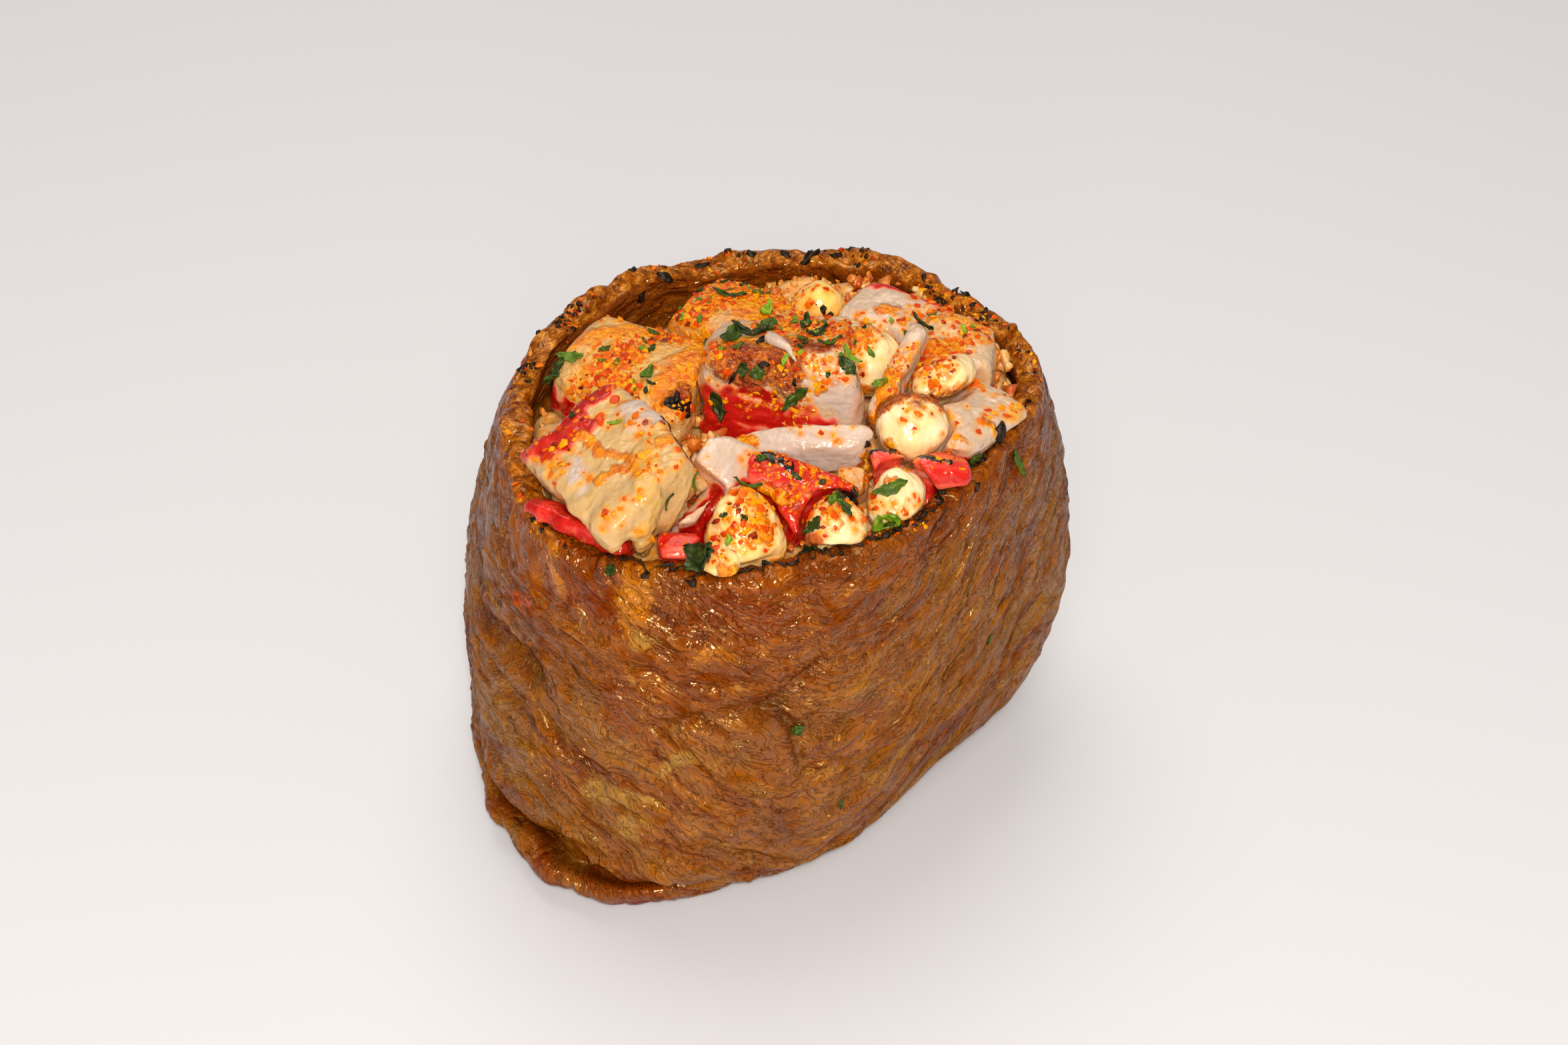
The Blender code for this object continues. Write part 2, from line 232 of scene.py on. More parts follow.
def wander(points, size, seed):
    """Smooth noise from -1 to 1. Its lumps are as large as the size, one number or one for each axis."""
    place = points / np.asarray(size)
    cell = np.floor(place)
    part = place - cell
    part = part * part * (3.0 - 2.0 * part)
    total = np.zeros(len(points))
    for corner in itertools.product((0, 1), repeat=3):
        weight = np.prod(np.where(corner, part, 1.0 - part), axis=1)
        total += weight * cell_value(cell + corner, seed)
    return 2.0 * total - 1.0


def layered(points, size, seed, octaves):
    """Noise with finer and weaker noise on top of it."""
    total = np.zeros(len(points))
    for octave in range(octaves):
        total += wander(points, np.asarray(size) / 2.0**octave, seed + octave) / 2.0**octave
    return total


def ridges(points, size, seed):
    """1 on sharp crests, falling to 0 between them."""
    return 1.0 - np.abs(wander(points, size, seed))


def rise(values, low, high):
    """0 below low, 1 above high, and smooth between."""
    part = np.clip((values - low) / (high - low), 0.0, 1.0)
    return part * part * (3.0 - 2.0 * part)


# %% [markdown]
# ## The pouch's shape
#
# The pouch is fried tofu that was simmered until its skin turned soft and wrinkled. The solid has the
# right outline, the folded lip and the crease. The copy gets three sizes of wrinkles that run mostly round
# the pouch, because the skin was pressed that way, and a spongy torn rim.
#
# Only the top few millimetres of its inside show, so a plug made of the pouch's own outer skin fills it up to
# just under the bed. The remesh melts the plug and the wall into one closed skin and spends no faces inside.


# %% Pouch mesh
PLUG_TOP = 33.0 * MM
PLUG_SHRINK = 0.97
POUCH_VOXEL = 0.42 * MM


def faces_inwards(face):
    """True for the inner wall, the inner floor and the rim of the pouch."""
    middle = face.calc_center_median()
    outwards = face.normal.x * middle.x + face.normal.y * middle.y
    return outwards <= 0.0 and face.normal.z > -0.5


def make_plug():
    """The pouch's outer skin, closed below the bed."""
    plug = copy_of("pouch")
    inner = [face for face in plug.faces if faces_inwards(face)]
    bmesh.ops.delete(plug, geom=inner, context="FACES")
    everything = plug.verts[:] + plug.edges[:] + plug.faces[:]
    top = Vector((0.0, 0.0, PLUG_TOP))
    bmesh.ops.bisect_plane(plug, geom=everything, plane_co=top, plane_no=(0, 0, 1), clear_outer=True)
    bmesh.ops.holes_fill(plug, edges=plug.edges, sides=0)
    bmesh.ops.recalc_face_normals(plug, faces=plug.faces)
    bmesh.ops.scale(plug, vec=(PLUG_SHRINK, PLUG_SHRINK, 1.0), verts=plug.verts)
    return plug


def join_meshes(builder, other):
    """Add another bmesh to this one. The other is freed."""
    mesh = bpy.data.meshes.new("joined")
    other.to_mesh(mesh)
    other.free()
    builder.from_mesh(mesh)
    bpy.data.meshes.remove(mesh)


builder = copy_of("pouch")
join_meshes(builder, make_plug())
pouch = new_piece("tofu_pouch", builder)
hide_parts("pouch")
refine(pouch, POUCH_VOXEL, 14)
print("pouch:", len(pouch.data.polygons), "faces")


# %% [markdown]
# ## Wrinkles, lip and torn rim
#
# Every point of the pouch is pushed along its normal. Broad swells come first. Then come ridges about three
# times as long as they are high, because the simmered skin creases round the pouch, and thin steps where one
# film of skin ends on top of another. The noise is asked at bent places, so the streaks run steeply down
# the folded end and level out along the front. The folded end gets its deep crease, with the skin above
# hanging over the lip. The rim gets lumps and pits, as it is the spongy inside of the tofu.
#
# What the relief did is stored for the material: how high each point stands, which the material paints as
# shade in the creases and the fold and as light on the crests, how wet it is, and the bent place, at which the
# material asks its own finer noise.


# %% Pouch relief
STREAK = np.array([2.2, 2.2, 1.0])
STEEP_TURN = 250.0
STEEP_SPREAD = 46.0
STEEP_RISE = 17.0 * MM
FOLD_TURNS = (150.0, 166.0, 178.0, 190.0, 200.0, 214.0, 226.0)
FOLD_LEVELS = (6.4, 6.0, 5.7, 4.9, 4.3, 4.4, 4.6)
FOLD_PARTS = (0.0, 0.8, 1.0, 1.0, 1.0, 0.6, 0.0)


def turn_of(points):
    """Degrees round the pouch, from 0 to 360 and anticlockwise from +X."""
    return np.degrees(np.arctan2(points[:, 1], points[:, 0])) % 360.0


def bell(values):
    return np.exp(-values * values)


def bent(points):
    """Places for the skin's noise, bent so that its streaks fall along the folded end."""
    lean = STEEP_RISE * bell((turn_of(points) - STEEP_TURN) / STEEP_SPREAD)
    sway = 5.0 * MM * wander(points, (26 * MM, 26 * MM, 30 * MM), 3)
    shake = 1.8 * MM * wander(points, 7.0 * MM, 4)
    return points + np.outer(lean + sway + shake, [0.0, 0.0, 1.0])


def steps(points, size, count, seed):
    """Noise cut into steps that rise slowly and drop at once, like films that end on each other."""
    value = count * layered(points, size, seed, 2)
    return value - np.floor(value)


def fold_pushes(points):
    """Outward and downward pushes in millimetres that make the crease and the lip of the folded end."""
    turn = turn_of(points)
    level = np.interp(turn, FOLD_TURNS, FOLD_LEVELS) + 0.5 * wander(points, 3.0 * MM, 20)
    part = np.interp(turn, FOLD_TURNS, FOLD_PARTS)
    above = points[:, 2] / MM - level
    groove = -2.6 * bell(above / 0.75)
    overhang = 0.9 * bell((above - 2.2) / 1.3)
    lip = (0.35 + 0.9 * wander(points, 3.4 * MM, 21)) * bell((above + 2.6) / 1.5)
    return part * (groove + overhang + lip), part * -0.9 * bell((above - 1.2) / 1.2), part * bell(above / 1.1)


def in_box(node, parts):
    """The place at these parts of a node's box, from 0 to 1 along each axis."""
    low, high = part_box(node)
    return np.array([low[axis] + parts[axis] * (high[axis] - low[axis]) for axis in range(3)])


def distance_to_route(points, route):
    """How far each point is from a chain of straight lines."""
    nearest = np.linalg.norm(points - route[0], axis=1)
    for start, end in zip(route, route[1:]):
        along = end - start
        part = np.clip((points - start) @ along / (along @ along), 0.0, 1.0)
        nearest = np.minimum(nearest, np.linalg.norm(points - start - part[:, None] * along, axis=1))
    return nearest


CRACKS = (
    (0.9, -0.8, ((0.08, 0.21, 0.62), (0.12, 0.16, 0.65), (0.18, 0.11, 0.66), (0.21, 0.09, 0.69), (0.27, 0.06, 0.75))),
    (0.8, -1.0, ((0.2, 0.1, 0.65), (0.22, 0.08, 0.59), (0.23, 0.07, 0.51), (0.25, 0.07, 0.46))),
    (1.3, -1.4, ((0.09, 0.71, 0.6), (0.06, 0.64, 0.6), (0.05, 0.59, 0.61), (0.03, 0.5, 0.6))),
    (0.9, -0.7, ((0.06, 0.66, 0.52), (0.03, 0.45, 0.5), (0.03, 0.39, 0.44), (0.04, 0.33, 0.4))),
    (0.6, 0.55, ((0.03, 0.37, 0.34), (0.05, 0.29, 0.37), (0.07, 0.24, 0.37))),
    (0.6, 0.5, ((0.06, 0.39, 0.14), (0.08, 0.27, 0.17), (0.1, 0.22, 0.15))),
)


def crack_push(points):
    """Cracks pushed in and crests pushed out, in millimetres, along the routes above."""
    push = np.zeros(len(points))
    ragged = points + 0.5 * MM * np.stack([wander(points, 2.0 * MM, 70 + axis) for axis in range(3)], axis=1)
    for width, depth, route in CRACKS:
        away = distance_to_route(ragged, [in_box("pouch", parts) for parts in route])
        push += depth * bell(away / (width * MM))
    return push


points = points_of(pouch)
normals = normals_of(pouch)
height = points[:, 2]
turn = turn_of(points)
place = bent(points)
mouth_level = np.percentile(height, 99.5)
at_rim = rise(height, mouth_level - 3.2 * MM, mouth_level - 1.2 * MM) * rise(normals[:, 2], 0.0, 0.6)
at_rim *= 1.0 - 0.92 * (rise(turn, 165.0, 190.0) - rise(turn, 288.0, 318.0))
fold_out, fold_down, in_fold = fold_pushes(points)
rough_end = 0.65 + 0.5 * bell((turn - 205.0) / 50.0)
swells = 0.42 * rough_end * layered(points, 9.0 * MM, 10, 2)
creases = 0.5 * (ridges(place, 2.7 * MM * STREAK, 11) - 0.62)
wrinkles = 0.34 * (ridges(place, 1.3 * MM * STREAK, 12) - 0.62)
films = 0.3 * (steps(place, 3.4 * MM * STREAK, 2.2, 16) - 0.5)
drapes = 0.22 * wander(points, (3.2 * MM, 3.2 * MM, 14 * MM), 17) * rise(height, 28 * MM, 38 * MM)
lumps = 0.55 * layered(points, 2.2 * MM, 14, 3) - 0.1
relief = creases + wrinkles + films
push = (swells + rough_end * relief + drapes) * (1.0 - at_rim) + lumps * at_rim
cracks = crack_push(points)
push = push * (1.0 - 0.6 * in_fold) + fold_out + cracks
push *= rise(height, 0.1 * MM, 1.6 * MM)
points = points + normals * push[:, None] * MM
points[:, 2] = np.maximum(points[:, 2] + fold_down * MM, 0.0)
move_points(pouch, points)
print("pouch relief from", round(push.min(), 2), "to", round(push.max(), 2), "mm")


# %% Pouch masks
def add_place(piece, name, places):
    """Store a place in millimetres for every point, at which a material asks its noise."""
    layer = piece.data.attributes.new(name, "FLOAT_VECTOR", "POINT")
    layer.data.foreach_set("vector", (places / MM).astype(np.float32).ravel())


# Marks on the skin. The red marks are a stain. The darkest marks paint darker amber in patches and the shade in the
# lip's crease. The bright orange marks paint light shining through the thin skin, and the golden ones paint pale film
# lit as a highlight.
SKIN_MARKS = (
    ("glow", 1.7, ((0.12, 0.3, 0.98), (0.09, 0.29, 0.94), (0.07, 0.3, 0.87))),
    ("glow", 1.2, ((0.13, 0.18, 0.8), (0.15, 0.15, 0.82))),
    ("glow", 0.8, ((0.04, 0.43, 0.9), (0.06, 0.45, 0.97))),
    ("dark_and_crease_shade", 3.0, ((0.06, 0.42, 0.9), (0.06, 0.36, 0.91))),
    ("dark_and_crease_shade", 2.6, ((0.05, 0.31, 0.66), (0.05, 0.28, 0.61))),
    ("dark_and_crease_shade", 2.4, ((0.14, 0.16, 0.93), (0.2, 0.1, 0.9))),
    ("dark_and_crease_shade", 3.0, ((0.0, 0.5, 0.09), (0.01, 0.4, 0.08), (0.03, 0.34, 0.08), (0.07, 0.28, 0.05))),
    ("red", 1.0, ((0.04, 0.5, 0.79), (0.05, 0.54, 0.76))),
    ("golden_film_highlight", 1.5, ((0.04, 0.36, 0.36), (0.05, 0.31, 0.38), (0.06, 0.26, 0.39))),
    ("golden_film_highlight", 1.6, ((0.06, 0.27, 0.32), (0.06, 0.3, 0.28))),
    ("golden_film_highlight", 1.2, ((0.07, 0.28, 0.83), (0.08, 0.26, 0.84))),
    ("golden_film_highlight", 0.7, ((0.05, 0.6, 0.68), (0.04, 0.53, 0.64))),
    ("golden_film_highlight", 0.5, ((0.03, 0.43, 0.5), (0.03, 0.39, 0.5))),
    ("golden_film_highlight", 0.8, ((0.11, 0.17, 0.54), (0.09, 0.2, 0.53), (0.07, 0.23, 0.48))),
)


def skin_marks(points):
    """How strongly each kind of mark covers each point of the skin, from 0 to 1."""
    marks = {kind: np.zeros(len(points)) for kind in ("glow", "dark_and_crease_shade", "golden_film_highlight", "red")}
    ragged = points + 0.9 * MM * np.stack([wander(points, 1.6 * MM, 80 + axis) for axis in range(3)], axis=1)
    for kind, width, route in SKIN_MARKS:
        away = distance_to_route(ragged, [in_box("pouch", parts) for parts in route])
        marks[kind] = np.maximum(marks[kind], bell(away / (width * MM)))
    return marks


soaked = rise(height / MM + 9.0 * wander(points, 9.0 * MM, 18), 20.0, 44.0)
facing_end = bell((turn - 213.0) / 42.0)
wet = soaked * (0.45 + 0.55 * facing_end) + 0.35 * facing_end * (1.0 - soaked)
wet = np.maximum(wet, rise(height, mouth_level - 7.0 * MM, mouth_level - 3.0 * MM) * 0.75)
add_mask(pouch, "rim", at_rim)
# The relief's height, kept to paint shade into the skin: darker in the creases and the fold, lighter on crests.
add_mask(pouch, "relief_shade", 0.5 + 0.62 * relief + 0.4 * cracks - 0.5 * in_fold)
add_mask(pouch, "wet", wet)
for kind, mark in skin_marks(points).items():
    add_mask(pouch, kind, mark)
add_place(pouch, "grain", place * np.array([0.5, 0.5, 1.0]))

# %% [markdown]
# ## Simmered skin
#
# The skin is amber where the broth soaked in, and veiled with pale fibres where it is dry. Shade is painted into
# the amber: darker in the creases and the fold, lighter on the crests. Oil from the topping makes it deeper and
# wetter near the rim. A ramp over noise and over the stored height of the relief gives the amber with this
# painted shade, and dark crack lines are painted shade as well. A net of thin pale lines is laid over it where
# the skin is dry, with a paler haze that is partly painted sheen, and where a film ends its edge is painted
# golden, as light comes through. Light goes a little way into tofu, so a part of it is scattered below the
# surface. A thin coat glints only where oil stands on the skin.


# %% Node helpers
def new_material(name):
    material = bpy.data.materials.new(name)
    material.use_nodes = True
    return material, material.node_tree


def add_node(tree, kind, links=(), **settings):
    """A node with its settings. A link is (input name, output socket)."""
    node = tree.nodes.new(kind)
    for name, value in settings.items():
        if hasattr(node, name):
            setattr(node, name, value)
        else:
            node.inputs[name.replace("_", " ")].default_value = value
    for name, socket in links:
        tree.links.new(socket, node.inputs[name])
    return node


def object_place(tree, scale=(1, 1, 1)):
    """Object coordinates in millimetres, stretched."""
    coordinates = add_node(tree, "ShaderNodeTexCoord")
    mapping = add_node(tree, "ShaderNodeMapping", [("Vector", coordinates.outputs["Object"])])
    mapping.inputs["Scale"].default_value = [1000.0 * part for part in scale]
    return mapping.outputs["Vector"]


def noise_of(tree, place, scale, detail=3.0, distortion=0.0):
    """A noise texture's value, from 0 to 1."""
    texture = add_node(tree, "ShaderNodeTexNoise", [("Vector", place)])
    texture.inputs["Scale"].default_value = scale
    texture.inputs["Detail"].default_value = detail
    texture.inputs["Distortion"].default_value = distortion
    return texture.outputs["Fac"]


def ramp(tree, value, stops):
    """A colour ramp: stops are (position, colour)."""
    node = add_node(tree, "ShaderNodeValToRGB", [("Fac", value)])
    elements = node.color_ramp.elements
    while len(elements) < len(stops):
        elements.new(0.5)
    for element, (position, colour) in zip(elements, stops):
        element.position = position
        element.color = (*colour, 1.0)
    return node.outputs["Color"]


def mask_of(tree, name):
    return add_node(tree, "ShaderNodeAttribute", attribute_name=name).outputs["Fac"]


def spread(tree, value, low, high, to_low=0.0, to_high=1.0):
    """Map a value from one range to another, kept inside it."""
    node = add_node(tree, "ShaderNodeMapRange", [("Value", value)])
    node.inputs["From Min"].default_value = low
    node.inputs["From Max"].default_value = high
    node.inputs["To Min"].default_value = to_low
    node.inputs["To Max"].default_value = to_high
    return node.outputs["Result"]


def calculate(tree, operation, one, two):
    """A Math node. Each side is a socket or a number."""
    node = add_node(tree, "ShaderNodeMath", operation=operation)
    for slot, value in zip(node.inputs, (one, two)):
        if isinstance(value, (int, float)):
            slot.default_value = value
        else:
            tree.links.new(value, slot)
    return node.outputs["Value"]


def mix_colours(tree, factor, one, two, blend="MIX"):
    """A Mix node for colours. Each side is a socket or a colour."""
    node = add_node(tree, "ShaderNodeMix", data_type="RGBA", blend_type=blend)
    for slot, value in ((node.inputs["Factor"], factor), (node.inputs[6], one), (node.inputs[7], two)):
        if isinstance(value, (int, float)):
            slot.default_value = value
        elif isinstance(value, tuple):
            slot.default_value = (*value, 1.0)
        else:
            tree.links.new(value, slot)
    return node.outputs[2]


def bump(tree, height, distance, strength=1.0, under=None):
    """Shading relief of this many millimetres. It can be laid over another one."""
    links = [("Height", height)] + ([("Normal", under)] if under else [])
    node = add_node(tree, "ShaderNodeBump", links)
    node.inputs["Distance"].default_value = distance * MM
    node.inputs["Strength"].default_value = strength
    return node.outputs["Normal"]


# %% Tofu skin material
def net_of(tree, place, scale, width, distortion):
    """1 on thin crooked lines, 0 between them."""
    value = noise_of(tree, place, scale, 2.0, distortion)
    away = calculate(tree, "ABSOLUTE", calculate(tree, "SUBTRACT", value, 0.5), 0.0)
    return spread(tree, away, 0.0, width, 1.0, 0.0)


def film_edges(tree, place, scale, count):
    """A sawtooth over noise: it rises slowly and drops at once, where one film ends on another."""
    value = calculate(tree, "MULTIPLY", noise_of(tree, place, scale, 3.0, 0.6), count)
    return calculate(tree, "FRACT", value, 0.0)


# Colours of the skin marks: dark amber with painted crease shade, orange light painted as if through the skin, a pale
# golden painted highlight, and a red stain.
MARK_COLOURS = (
    ("dark_and_crease_shade", (0.17, 0.018, 0.0), 0.8), ("glow", (0.54, 0.17, 0.002), 0.65),
    ("golden_film_highlight", (0.46, 0.25, 0.04), 0.5), ("red", (0.45, 0.035, 0.006), 0.7),
)


def tofu_skin():
    material, tree = new_material("simmered_tofu_skin")
    shader = tree.nodes["Principled BSDF"]
    grain = add_node(tree, "ShaderNodeAttribute", attribute_name="grain").outputs["Vector"]
    even = object_place(tree)
    wet, relief_shade, rim = mask_of(tree, "wet"), mask_of(tree, "relief_shade"), mask_of(tree, "rim")
    # The tone mixes noise with the relief's height, which paints shade into the creases and light onto the crests.
    tone = calculate(tree, "ADD", calculate(tree, "MULTIPLY", noise_of(tree, grain, 0.5, 6.0, 1.2), 0.56),
                     calculate(tree, "MULTIPLY", relief_shade, 0.42))
    amber = ramp(tree, tone, (
        (0.26, (0.075, 0.009, 0.0)), (0.40, (0.14, 0.022, 0.0)), (0.54, (0.21, 0.045, 0.0)),
        (0.68, (0.31, 0.086, 0.0)), (0.84, (0.50, 0.19, 0.005))))
    soaked = mix_colours(tree, 1.0, amber, (1.0, 0.78, 0.2), "MULTIPLY")
    colour = mix_colours(tree, wet, amber, soaked)
    for kind, stain, reach in MARK_COLOURS:
        mark = calculate(tree, "ADD", mask_of(tree, kind), spread(tree, noise_of(tree, grain, 1.3, 5.0, 1.0), 0.3, 0.7, -0.3, 0.3))
        colour = mix_colours(tree, spread(tree, mark, 0.35, 0.85, 0.0, reach), colour, stain)
    lines = calculate(tree, "MAXIMUM", net_of(tree, grain, 1.25, 0.05, 1.8), net_of(tree, grain, 2.6, 0.06, 1.2))
    patches = spread(tree, noise_of(tree, grain, 0.22, 4.0, 0.8), 0.38, 0.62)
    dry = spread(tree, wet, 0.1, 0.8, 1.0, 0.0)
    # Crack lines are painted nearly black, as shade in them, and the bump below sinks them.
    cracks = calculate(tree, "MULTIPLY", net_of(tree, grain, 0.8, 0.03, 2.2), 0.55)
    colour = mix_colours(tree, cracks, colour, (0.09, 0.018, 0.0))
    # Dry patches get a paler amber haze: partly pale dry skin, partly a painted sheen.
    haze_and_sheen = calculate(tree, "MULTIPLY", patches, calculate(tree, "MULTIPLY", dry, 0.5))
    colour = mix_colours(tree, haze_and_sheen, colour, (0.25, 0.088, 0.004))
    veil = calculate(tree, "MULTIPLY", lines, calculate(tree, "MULTIPLY", patches, dry))
    colour = mix_colours(tree, calculate(tree, "MULTIPLY", veil, 0.4), colour, (0.42, 0.21, 0.03))
    films = film_edges(tree, grain, 0.45, 9.0)
    here = spread(tree, noise_of(tree, even, 0.25), 0.46, 0.6, 0.0, 0.35)
    golden = calculate(tree, "MULTIPLY", spread(tree, films, 0.88, 0.98), here)
    colour = mix_colours(tree, golden, colour, (0.66, 0.36, 0.06))
    sponge = ramp(tree, noise_of(tree, even, 1.1, 6.0, 0.5), (
        (0.34, (0.12, 0.018, 0.0)), (0.5, (0.31, 0.072, 0.0)), (0.66, (0.55, 0.19, 0.015))))
    colour = mix_colours(tree, rim, colour, sponge)
    tree.links.new(colour, shader.inputs["Base Color"])
    oil = spread(tree, noise_of(tree, even, 0.35, 2.0, 0.8), 0.30, 0.48)
    gloss = calculate(tree, "MULTIPLY", spread(tree, wet, -0.35, 0.3), oil)
    tree.links.new(spread(tree, gloss, 0.0, 1.0, 0.42, 0.17), shader.inputs["Roughness"])
    facing = add_node(tree, "ShaderNodeLayerWeight").outputs["Facing"]
    seen = calculate(tree, "MULTIPLY", gloss, spread(tree, facing, 0.4, 0.8, 1.0, 0.05))
    tree.links.new(spread(tree, seen, 0.0, 1.0, 0.05, 0.7), shader.inputs["Specular IOR Level"])
    shine = mix_colours(tree, gloss, (1.0, 0.5, 0.1), (1.0, 0.80, 0.38))
    tree.links.new(shine, shader.inputs["Specular Tint"])
    shader.inputs["Subsurface Weight"].default_value = 0.2
    shader.inputs["Subsurface Radius"].default_value = (1.0, 0.3, 0.06)
    shader.inputs["Subsurface Scale"].default_value = 1.2 * MM
    coarse = bump(tree, noise_of(tree, grain, 0.45, 2.0, 1.0), 1.3)
    valleys = bump(tree, calculate(tree, "SUBTRACT", 1.0, cracks), 0.2, 1.0, coarse)
    fine = bump(tree, noise_of(tree, even, 1.8, 0.0, 1.0), 0.07, 0.9, valleys)
    tree.links.new(fine, shader.inputs["Normal"])
    return material


pouch.data.materials.clear()
pouch.data.materials.append(tofu_skin())

# %% [markdown]
# ## Brush strokes
#
# Crab stick is white inside with a red skin, and here it is also stained with chilli oil and scorched by a
# torch. These marks sit at definite places, so they are laid on as brush strokes: a short route across a
# piece, a width, and how far the stroke lifts the surface. A route's points are parts of the piece's box, so
# that a stroke stays on its piece. Noise makes the stroke's edge ragged. The strength of every kind of stroke
# is stored on the points, and the material turns it into colour.


# %% Strokes
def stroke_strength(points, node, width, route, seed):
    """1 along the middle of a brush stroke and 0 outside its ragged edge."""
    places = [in_box(node, parts) for parts in route]
    ragged = width * MM * (1.0 + 0.45 * layered(points, 0.7 * width * MM, seed, 2))
    return rise(ragged - distance_to_route(points, places), 0.0, 0.55 * width * MM)


def lay_strokes(points, node, strokes, start):
    """All the strokes of a piece: the strength of each kind, and the lift in millimetres."""
    masks = {kind: np.zeros(len(points)) for kind in ("red", "bare", "glaze", "cream", "toast", "char")}
    masks["red"] += start.get("red", 0.0)
    lift = np.zeros(len(points))
    for seed, (kind, width, height, route) in enumerate(strokes):
        strength = stroke_strength(points, node, width, route, 40 + seed)
        if kind == "clean":
            masks["red"] *= 1.0 - strength
            masks["bare"] = np.maximum(masks["bare"], strength)
        elif kind == "blush":
            masks["red"] += (0.24 - masks["red"]) * strength
        elif kind == "tan":
            masks["glaze"] = np.maximum(masks["glaze"], 0.6 * strength)
        else:
            masks[kind] = np.maximum(masks[kind], strength)
        lift += height * strength
    return masks, lift


# %% [markdown]
# ## Flakes of crab stick
#
# Crab stick is made of thin fibres laid side by side, and it tears along them. Each flake therefore gets a
# grain: a direction given by a turn round the vertical and a rise above the table. Across the grain the
# surface is furrowed, and at the two ends every bundle of fibres is pulled out or cut short by its own
# amount, which frays the end.
#
# One function makes them all, from a table of what differs.


# %% Table of flakes: grain turn and rise in degrees, fray and furrow in millimetres, smoothing, masks all over
FLAKES = {
    "crab_left": ((-13, -15), 0.5, 0.03, 22, {"cream": 0.7}),
    "crab_left_under": ((9, 0), 0.5, 0.04, 14, {"red": 1.0}),
    "crab_back_left": ((17, 0), 0.4, 0.05, 20, {"cream": 0.8, "glaze": 0.3}),
    "crab_centre": ((124, 0), 0.5, 0.06, 20, {"cream": 0.3, "glaze": 0.2}),
    "crab_back": ((100, 0), 0.4, 0.05, 20, {"cream": 0.7, "glaze": 0.45}),
    "crab_back_right": ((12, 0), 0.3, 0.04, 18, {"cream": 0.2}),
    "crab_right": ((33, 80), 0.3, 0.06, 16, {"cream": 0.4}),
    "crab_slab_right": ((2, 5), 0.4, 0.04, 16, {"cream": 0.25}),
    "crab_strip_right": ((18, 17), 0.3, 0.05, 6, {"cream": 0.2}),
    "crab_strip_centre": ((-61, 5), 0.4, 0.04, 8, {}),
    "crab_standing": ((20, 23), 0.4, 0.05, 12, {"cream": 0.1}),
    "crab_shred": ((30, -50), 0.3, 0.05, 8, {"cream": 0.6, "glaze": 0.3}),
    "crab_red_front": ((-62, -9), 0.4, 0.05, 14, {"red": 0.85}),
    "crab_red_right": ((-42, -10), 0.3, 0.06, 8, {"red": 0.65}),
    "crab_red_rim": ((-46, 0), 0.3, 0.05, 10, {"red": 0.7}),
}

